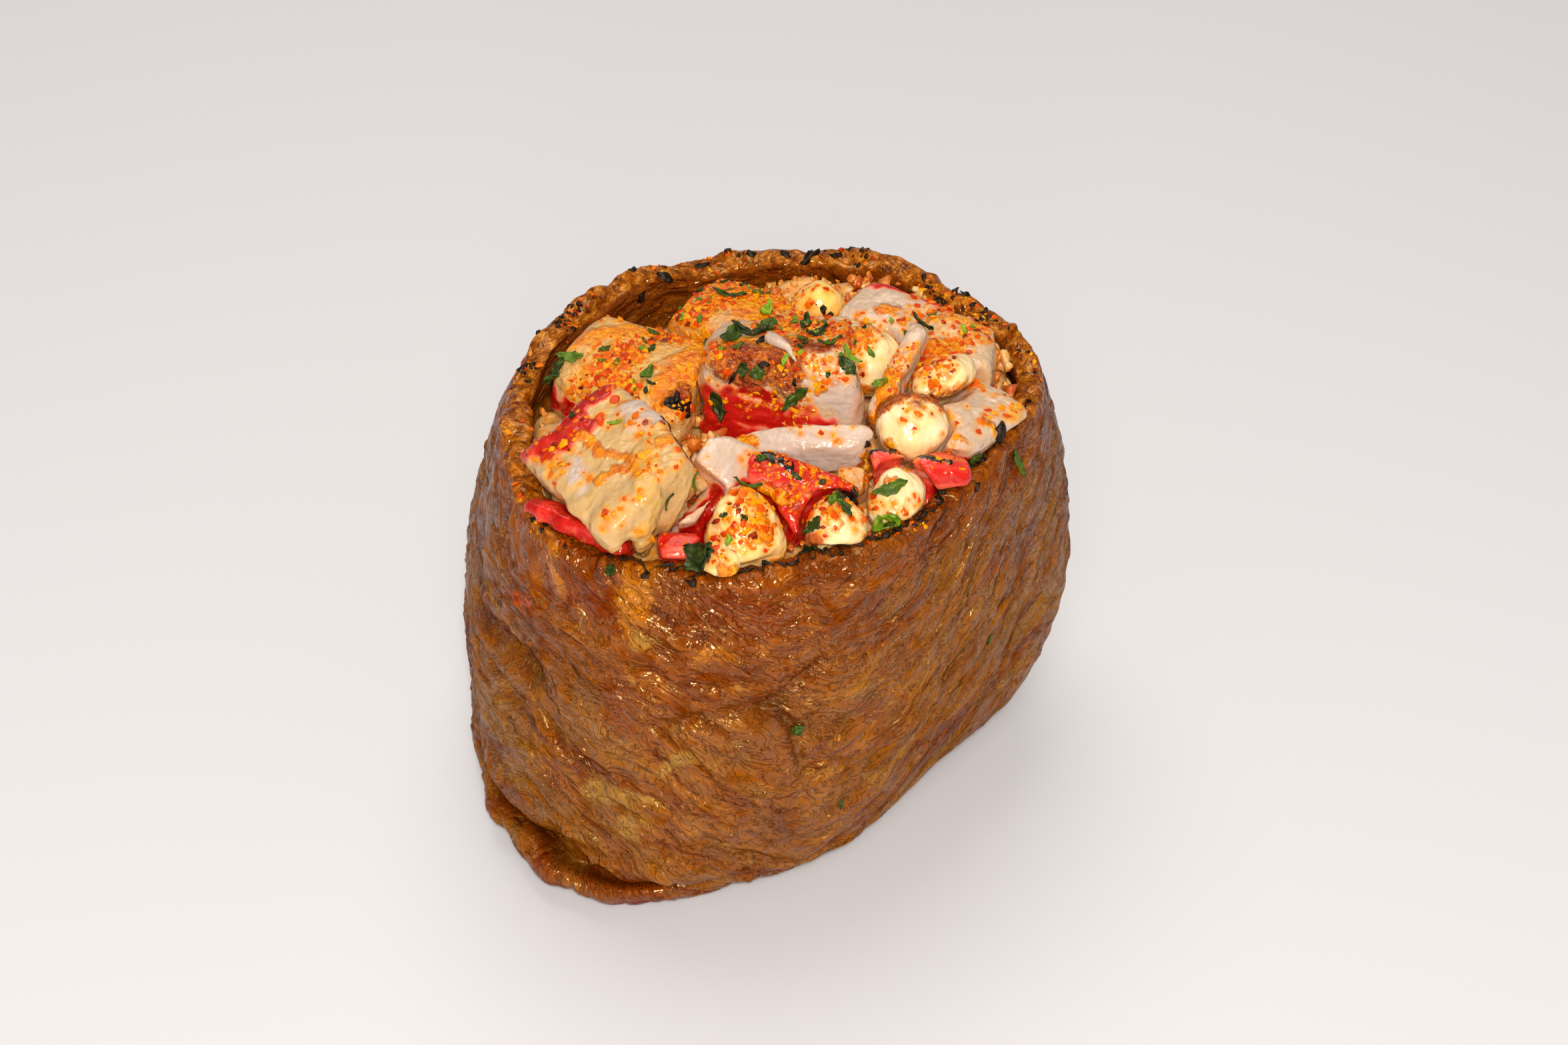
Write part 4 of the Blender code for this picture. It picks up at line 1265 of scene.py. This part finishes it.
def upper_faces(piece, lowest, steepest):
    """Centres, normals and areas of the faces that look up and lie high enough."""
    count = len(piece.data.polygons)
    centres, facing, areas = np.empty(3 * count), np.empty(3 * count), np.empty(count)
    piece.data.polygons.foreach_get("center", centres)
    piece.data.polygons.foreach_get("normal", facing)
    piece.data.polygons.foreach_get("area", areas)
    centres, facing = centres.reshape(-1, 3), facing.reshape(-1, 3)
    chosen = (centres[:, 2] > lowest) & (facing[:, 2] > steepest)
    return centres[chosen], facing[chosen], areas[chosen]


def strew(piece, count, lowest, steepest, crowding, picker):
    """Places and normals on a piece where grains lie, more of them where it is flat and the noise is high."""
    centres, facing, areas = upper_faces(piece, lowest, steepest)
    if not len(centres):
        return []
    likely = areas * facing[:, 2] ** 1.5 * np.clip(0.45 + wander(centres, 3.2 * MM, 51), 0.04, 1.0) ** crowding
    chosen = picker.choice(len(centres), size=count, p=likely / likely.sum())
    return [(Vector(centres[index]), Vector(facing[index])) for index in chosen]


def grain_items(piece, chips, dust, largest, lowest, steepest, crowding):
    """Places, normals and sizes of chips and dust on a piece."""
    items = [(*spot, largest * dice.uniform(0.35, 1.0) ** 1.3)
             for spot in strew(piece, chips, lowest, steepest, crowding, picker)]
    items += [(*spot, DUST * dice.uniform(0.35, 1.0))
              for spot in strew(piece, dust, lowest, steepest, crowding + 0.7, picker)]
    return items


def add_grain(builder, shade, place, normal, size):
    sizes = (size * MM, size * MM * dice.uniform(0.45, 0.95), size * MM * dice.uniform(0.18, 0.36))
    matrix = onto(place + normal * 0.3 * sizes[2], normal, dice.uniform(0, 6)) @ \
        Matrix.Rotation(dice.uniform(-0.35, 0.35), 4, "X")
    tint = dice.random()
    for vert in add_ball(builder, matrix, sizes, 0.9, 1, dice.uniform(0, 50)):
        vert[shade] = tint


dice = random.Random(21)
picker = np.random.default_rng(21)
spread_on = {**flakes, **dollops}
grain_spots = []
for node, (chips, dust, largest) in GRAINS.items():
    grain_spots += grain_items(spread_on[node], chips, dust, largest, 41.5 * MM, 0.1, 1.5)
grain_spots += grain_items(pouch, *RIM_GRAINS, 0.9, 39.5 * MM, 0.2, 3.0)
grain_spots += grain_items(crumbs, *BED_GRAINS, 0.9, 39.0 * MM, 0.2, 1.0)
grains = new_piece("chilli_grains", gather(grain_spots, add_grain))
print("grains:", len(grain_spots))


# %% Oil that bleeds from the grains, and oil with painted shade in the gaps
HALO_REACH = 0.5 * MM
GAP_REACH = 1.3 * MM


def tree_of_spots():
    tree = kdtree.KDTree(len(grain_spots))
    for index, (place, normal, size) in enumerate(grain_spots):
        tree.insert(place, index)
    tree.balance()
    return tree


def halo_mask(points, tree):
    """1 under a grain, fading out round it. A large grain bleeds further."""
    mask = np.zeros(len(points))
    for number in np.flatnonzero(points[:, 2] > 40.0 * MM):
        _, index, away = tree.find(points[number])
        reach = 0.5 * grain_spots[index][2] * MM
        mask[number] = 1.0 - min(max(away - reach, 0.0) / HALO_REACH, 1.0)
    return mask


def tree_without(node):
    """A search tree of all the solid nodes but one."""
    corners, faces = [], []
    for name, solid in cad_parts.items():
        if name != node:
            faces += [[len(corners) + index for index in face.vertices] for face in solid.data.polygons]
            corners += [vert.co.copy() for vert in solid.data.vertices]
    return bvhtree.BVHTree.FromPolygons(corners, faces)


def gap_oil_and_shade_mask(points, tree):
    """1 where another piece touches, fading out with the gap."""
    mask = np.zeros(len(points))
    # The mask stands for oil that gathers where pieces touch and for the shade painted into the gap.
    for number in np.flatnonzero(points[:, 2] > 38.0 * MM):
        away = tree.find_nearest(points[number], GAP_REACH)[3]
        mask[number] = 0.0 if away is None else 1.0 - away / GAP_REACH
    return mask


spot_tree = tree_of_spots()
for node, piece in spread_on.items():
    points = points_of(piece)
    red = np.zeros(len(points), np.float32)
    piece.data.attributes["red"].data.foreach_get("value", red)
    spared = 1.0 - 0.85 * rise(red, 0.3, 0.6)
    add_mask(piece, "halo", halo_mask(points, spot_tree) * spared)
    add_mask(piece, "gap_oil_and_shade", gap_oil_and_shade_mask(points, tree_without(node)) * spared)
print("halos and pools are stored on", len(spread_on), "pieces")


# %% Grain material
def grain_material():
    material, tree = new_material("chilli_grains")
    shader = tree.nodes["Principled BSDF"]
    even = object_place(tree)
    tint = calculate(tree, "ADD", mask_of(tree, "shade"),
                     calculate(tree, "MULTIPLY", calculate(tree, "SUBTRACT", noise_of(tree, even, 1.8), 0.5), 0.25))
    colour = ramp(tree, tint, (
        (0.0, (0.86, 0.34, 0.0)), (0.25, (0.82, 0.21, 0.0)), (0.5, (0.74, 0.12, 0.0)),
        (0.75, (0.64, 0.055, 0.0)), (0.93, (0.50, 0.020, 0.001)), (0.99, (0.12, 0.008, 0.002))))
    tree.links.new(colour, shader.inputs["Base Color"])
    shader.inputs["Roughness"].default_value = 0.3
    shader.inputs["Subsurface Weight"].default_value = 0.3
    shader.inputs["Subsurface Radius"].default_value = (1.0, 0.3, 0.05)
    shader.inputs["Subsurface Scale"].default_value = 0.4 * MM
    shader.inputs["Specular Tint"].default_value = (1.0, 0.65, 0.3, 1.0)
    return material


grains.data.materials.append(grain_material())

# %% [markdown]
# ## Herb flakes
#
# Dried leaves lie in curled pieces, dark green with a few bright ones. A leaf starts as a small grid, which
# is narrowed to a torn outline, bent along its length and crinkled. Then it is laid on the nearest surface
# and given a thickness. The larger ones are placed one by one, and tiny bits are strewn like the grains.


# %% Leaves: node, parts of its box, length and width in millimetres, turn in degrees, curl, shade
LEAVES = (
    ("crab_back_left", (0.03, 0.86, 0.88), 2.9, 2.3, 100, 0.2, 0.25),
    ("crab_back_left", (0.2, 0.8, 0.9), 2.5, 1.2, 20, 0.3, 0.55),
    ("crab_back_left", (0.42, 0.37, 0.92), 1.9, 1.0, 60, 0.4, 0.5),
    ("crab_back_left", (0.94, 0.3, 0.9), 2.0, 0.9, 80, 0.4, 0.3),
    ("crab_back_left", (0.77, 0.61, 0.95), 1.2, 0.5, 10, 0.2, 0.3),
    ("crab_centre", (0.35, 0.78, 0.95), 3.4, 1.6, 80, 0.3, 0.3),
    ("crab_centre", (0.46, 0.73, 0.95), 3.4, 1.3, 130, 0.6, 0.05),
    ("crab_centre", (0.57, 0.71, 0.95), 2.1, 1.8, 30, 0.3, 0.3),
    ("crab_back", (0.62, 0.33, 0.98), 1.9, 1.1, 140, 0.5, 0.85),
    ("crab_back", (0.57, 0.65, 0.98), 3.0, 0.8, 40, 0.3, 0.25),
    ("crab_centre", (0.73, 0.57, 0.95), 2.4, 0.9, 60, 0.5, 0.08),
    ("crab_centre", (0.69, 0.45, 0.97), 2.2, 1.2, 10, 0.5, 0.05),
    ("crab_centre", (0.65, 0.33, 0.99), 2.8, 0.8, 50, 0.4, 0.35),
    ("crab_centre", (0.65, 0.17, 0.99), 2.2, 0.9, 60, 0.5, 0.8),
    ("crab_centre", (0.57, 0.13, 0.97), 2.0, 1.2, 130, 0.4, 0.15),
    ("crab_strip_right", (0.28, 0.43, 0.63), 1.4, 0.9, 70, 0.4, 0.6),
    ("crab_centre", (0.33, 0.31, 0.62), 3.0, 1.1, 40, 0.3, 0.3),
    ("crab_centre", (0.07, 0.63, 0.47), 3.0, 1.2, 110, 0.3, 0.1),
    ("crab_centre", (0.2, 0.56, 0.86), 1.4, 1.0, 100, 0.3, 0.2),
    ("crab_centre", (0.24, 0.49, 0.84), 1.5, 1.2, 20, 0.3, 0.3),
    ("crab_strip_right", (0.97, 0.8, 0.98), 2.4, 1.5, 60, 0.2, 0.2),
    ("crab_slab_right", (0.26, 0.1, 0.45), 2.6, 1.5, 130, 0.3, 0.35),
    ("mayo_cone", (0.73, 0.69, 0.95), 2.6, 1.0, 50, 0.4, 0.4),
    ("mayo_front", (0.63, 0.46, 0.97), 3.2, 0.9, 30, 0.2, 0.25),
    ("mayo_front_right", (0.25, 0.47, 0.86), 3.2, 1.2, 30, 0.3, 0.45),
    ("mayo_front_right", (0.04, 0.3, 0.42), 2.9, 2.2, 60, 0.5, 0.75),
    ("mayo_front_right", (0.1, 0.3, 0.4), 1.6, 1.2, 80, 0.4, 0.3),
    ("mayo_front", (0.02, 0.55, 0.3), 2.3, 1.3, 40, 0.3, 0.05),
    ("mayo_front", (0.14, 0.6, 0.76), 2.0, 1.1, 80, 0.3, 0.2),
    ("mayo_drip", (0.2, 0.8, 0.9), 3.6, 2.2, 45, 0.4, 0.08),
    ("mayo_drip", (0.0, 0.75, 0.8), 3.0, 2.4, 80, 0.4, 0.1),
    ("pouch", (0.23, 0.08, 0.57), 1.6, 1.0, 40, 0.1, 0.3),
    ("pouch", (0.59, 0.01, 0.56), 1.0, 0.5, 60, 0.1, 0.3),
    ("pouch", (0.3, 0.05, 0.31), 0.9, 0.5, 80, 0.1, 0.3),
    ("pouch", (0.7, 0.06, 0.93), 3.0, 0.9, 100, 0.1, 0.4),
    ("pouch", (0.08, 0.33, 0.97), 1.4, 1.0, 20, 0.1, 0.25),
    ("crab_left", (0.64, 0.0, 0.74), 2.0, 0.35, 90, 0.3, 0.5),
    ("crab_left", (0.42, 0.0, 0.71), 1.6, 0.35, 30, 0.3, 0.2),
)


def add_leaf(builder, shade, matrix, length, width, curl, tint, seed):
    """A grid torn to a ragged outline, then curled along its length and crinkled."""
    made = bmesh.ops.create_grid(builder, x_segments=11, y_segments=7, size=0.5)["verts"]
    for vert in made:
        x, y = vert.co.x, vert.co.y
        torn = 0.85 + 0.9 * noise.noise(Vector((5.0 * x, 2.0 * seed, math.copysign(3.0, y))))
        outline = torn * (1.0 - abs(2.0 * x) ** 2.6) + 0.12
        slant = 0.4 * noise.noise(Vector((3.0 * y, seed, 8.0)))
        crinkle = noise.noise(Vector((4.0 * x, 4.0 * y, seed))) + 0.6 * noise.noise(Vector((9.0 * x, 9.0 * y, seed)))
        lift = curl * (2.0 * x * x - 0.1) * length + 0.9 * curl * y * y * width + 0.22 * crinkle * width
        vert.co = Vector((length * (x + slant * abs(x)), width * y * outline, lift)) * MM
        vert[shade] = tint + 0.25 * crinkle
    bmesh.ops.transform(builder, matrix=matrix, verts=made)


def leaf_items():
    """The placed leaves, then the strewn bits."""
    wearers = {**spread_on, "pouch": pouch}
    items = []
    for number, (node, parts, length, width, turn, curl, tint) in enumerate(LEAVES):
        met, place, normal, _ = wearers[node].closest_point_on_mesh(Vector(in_box(node, parts)))
        matrix = onto(place + normal * 0.15 * MM, normal, math.radians(turn))
        items.append((matrix, length, width, curl, tint, number))
    for node, count in LEAF_BITS.items():
        for place, normal in strew(spread_on[node], count, 42.0 * MM, 0.3, 1.0, picker):
            matrix = onto(place + normal * 0.1 * MM, normal, dice.uniform(0, 6))
            items.append((matrix, dice.uniform(0.5, 1.3), dice.uniform(0.3, 0.7), 0.3, dice.random(), dice.uniform(0, 90)))
    return items


LEAF_BITS = {"crab_back_left": 12, "crab_back": 16, "crab_centre": 20, "crab_right": 6, "mayo_cone": 3,
             "mayo_ridge": 5, "crab_red_front": 5, "crab_left": 2, "mayo_front": 3, "crab_back_right": 3}
dice = random.Random(33)
leaves = new_piece("herb_flakes", gather(leaf_items(), add_leaf))
thick = leaves.modifiers.new("Thickness", "SOLIDIFY")
thick.thickness = 0.12 * MM
thick.offset = 0.0
apply_modifiers(leaves)
print("leaves:", len(LEAVES), "placed and", sum(LEAF_BITS.values()), "strewn")


# %% Leaf material
def leaf_material():
    material, tree = new_material("dried_herb")
    shader = tree.nodes["Principled BSDF"]
    even = object_place(tree)
    tint = calculate(tree, "ADD", mask_of(tree, "shade"),
                     calculate(tree, "MULTIPLY", calculate(tree, "SUBTRACT", noise_of(tree, even, 1.5), 0.5), 0.5))
    colour = ramp(tree, tint, (
        (0.0, (0.008, 0.013, 0.003)), (0.25, (0.024, 0.042, 0.004)), (0.5, (0.060, 0.105, 0.006)),
        (0.8, (0.16, 0.27, 0.012)), (1.0, (0.28, 0.40, 0.02))))
    tree.links.new(colour, shader.inputs["Base Color"])
    shader.inputs["Roughness"].default_value = 0.35
    shader.inputs["Specular IOR Level"].default_value = 0.35
    shader.inputs["Specular Tint"].default_value = (0.9, 1.0, 0.6, 1.0)
    veins = bump(tree, noise_of(tree, even, 3.0, 4.0, 0.6), 0.12, 0.6)
    tree.links.new(veins, shader.inputs["Normal"])
    return material


leaves.data.materials.clear()
leaves.data.materials.append(leaf_material())

# %% [markdown]
# ## Scorched edges
#
# The torch turned thin edges to black, shiny crust: beads and specks on the rim and on a few flakes, and a
# wavy black line along the front of the mouth. The beads are dented balls. The line is a curve with a round
# section that follows the inner edge of the rim, found by rays from inside the mouth, and it wanders off
# the edge in a few small loops.


# %% Char beads: node, parts of its box, sizes in millimetres, turn in degrees
CHAR_BEADS = (
    ("pouch", (0.61, 0.885, 0.925), (1.7, 0.9, 0.7), 70), ("pouch", (0.62, 0.92, 0.98), (1.0, 0.8, 0.6), 0),
    ("pouch", (0.655, 0.875, 0.955), (2.2, 1.1, 0.8), 120), ("pouch", (0.73, 0.86, 0.94), (0.8, 1.7, 0.5), 30),
    ("pouch", (0.80, 0.81, 0.955), (1.5, 0.8, 0.6), 120), ("pouch", (0.84, 0.765, 0.96), (1.4, 0.9, 0.6), 110),
    ("pouch", (0.86, 0.73, 0.96), (2.8, 1.1, 0.9), 120), ("pouch", (0.89, 0.69, 0.96), (1.2, 0.8, 0.6), 120),
    ("pouch", (0.94, 0.45, 0.985), (2.0, 0.7, 0.6), 90), ("pouch", (0.945, 0.42, 0.985), (1.6, 0.8, 0.6), 80),
    ("pouch", (0.91, 0.45, 0.96), (0.9, 0.7, 0.5), 0),
    ("pouch", (0.63, 0.085, 0.985), (1.1, 0.7, 0.5), 20), ("pouch", (0.58, 0.05, 0.97), (1.1, 0.6, 0.5), 30),
    ("pouch", (0.52, 0.07, 0.985), (1.0, 0.7, 0.5), 10),
    ("crab_slab_right", (0.57, 0.01, 0.61), (2.0, 1.5, 1.1), 60),
    ("mayo_back", (0.34, 0.2, 0.75), (0.9, 0.9, 0.8), 0), ("mayo_back", (0.39, 0.09, 0.63), (0.8, 0.8, 0.7), 0),
    ("mayo_ball", (0.02, 0.4, 0.35), (1.1, 0.9, 0.9), 0), ("crab_strip_centre", (0.8, 0.02, 0.7), (1.0, 0.8, 0.7), 0),
    ("crab_centre", (0.15, 0.59, 0.78), (1.8, 0.5, 0.5), 60), ("crab_centre", (0.27, 0.48, 0.91), (1.2, 1.0, 0.5), 0),
    ("crab_centre", (0.36, 0.33, 0.78), (0.9, 0.5, 0.5), 90), ("crab_centre", (0.42, 0.62, 0.97), (2.2, 0.9, 0.6), 60),
    ("crab_back_left", (0.39, 0.1, 0.78), (1.7, 1.0, 0.7), 40), ("crab_back_left", (0.4, 0.03, 0.6), (0.9, 0.6, 0.5), 0),
    ("crab_back_right", (0.92, 0.35, 0.95), (1.0, 0.8, 0.5), 0),
)


def add_beads(builder, beads, wearers):
    for number, (node, parts, sizes, turn) in enumerate(beads):
        met, place, normal, _ = wearers[node].closest_point_on_mesh(Vector(in_box(node, parts)))
        matrix = onto(place, normal, math.radians(turn))
        add_ball(builder, matrix, [0.85 * size * MM for size in sizes], 1.1, 2, 3.7 * number)


def add_specks(builder, piece, count, lowest):
    """Small beads strewn over the rim, in groups."""
    for place, normal in strew(piece, count, lowest, 0.35, 3.0, picker):
        size = dice.uniform(0.3, 0.9) ** 1.5 * MM
        matrix = onto(place, normal, dice.uniform(0, 6))
        add_ball(builder, matrix, (size, 0.8 * size, 0.5 * size), 0.9, 1, dice.uniform(0, 50))


wearers = {**spread_on, "pouch": pouch}
builder = bmesh.new()
add_beads(builder, CHAR_BEADS, wearers)
add_specks(builder, pouch, 170, mouth_level - 1.6 * MM)
char_beads = new_piece("char_beads", builder)
char_beads.data.shade_smooth()


# %% Char line along the front of the mouth
LINE_START = 196
LINE_END = 312
LINE_LOOPS = ((206.0, 4.0, 1.5), (214.0, 3.0, 1.2), (296.0, 4.0, 1.0), (305.0, 3.5, 0.6))


def inner_edge(turn):
    """The top of the pouch's inner wall at this turn, found by rays from the middle of the mouth."""
    out = Vector((math.cos(math.radians(turn)), math.sin(math.radians(turn)), 0.0))
    for level in np.arange(45.0, 36.0, -0.1):
        met, place, normal, _ = pouch.ray_cast(Vector((0.0, 0.0, level * MM)), out)
        if met:
            return place, out
    return Vector(out) * 20 * MM, out


def line_route():
    """Places and radii of the char line. In a loop it swings out over the rim and back."""
    route = []
    for step in range(int(2.5 * (LINE_END - LINE_START))):
        turn = LINE_START + step / 2.5
        swing, back = 0.0, 0.0
        for centre, width, reach in LINE_LOOPS:
            away = (turn - centre) / width
            if abs(away) < 1.0:
                angle = math.pi * (away + 1.0)
                swing += reach * (1.0 - math.cos(angle)) / 2.0
                back += 2.2 * math.sin(angle)
        edge, out = inner_edge(turn + back)
        shake = Vector((noise.noise(Vector((turn * 0.9, 1, 0))), noise.noise(Vector((turn * 0.9, 5, 0))), 0.0))
        place = edge + out * (swing - 0.15) * MM + shake * 0.35 * MM
        place.z += (0.1 + 0.3 * noise.noise(Vector((turn * 0.7, 9, 0)))) * MM
        radius = 0.12 + 0.3 * noise.noise(Vector((turn * 0.55, 3, 2)))
        route.append((place, max(radius, 0.02)))
    return route


char_line = sweep("char_line", line_route())
char_line.data.shade_smooth()


# %% Char material
def char_material():
    material, tree = new_material("char")
    shader = tree.nodes["Principled BSDF"]
    even = object_place(tree)
    colour = ramp(tree, noise_of(tree, even, 1.8, 4.0), (
        (0.35, (0.003, 0.002, 0.002)), (0.55, (0.010, 0.005, 0.003)), (0.75, (0.07, 0.018, 0.004))))
    tree.links.new(colour, shader.inputs["Base Color"])
    shader.inputs["Roughness"].default_value = 0.4
    shader.inputs["Specular IOR Level"].default_value = 0.3
    shader.inputs["Specular Tint"].default_value = (1.0, 0.8, 0.6, 1.0)
    crust = bump(tree, noise_of(tree, even, 2.2, 5.0, 0.4), 0.25, 0.8)
    tree.links.new(crust, shader.inputs["Normal"])
    return material


char = char_material()
for piece in (char_beads, char_line):
    piece.data.materials.clear()
    piece.data.materials.append(char)
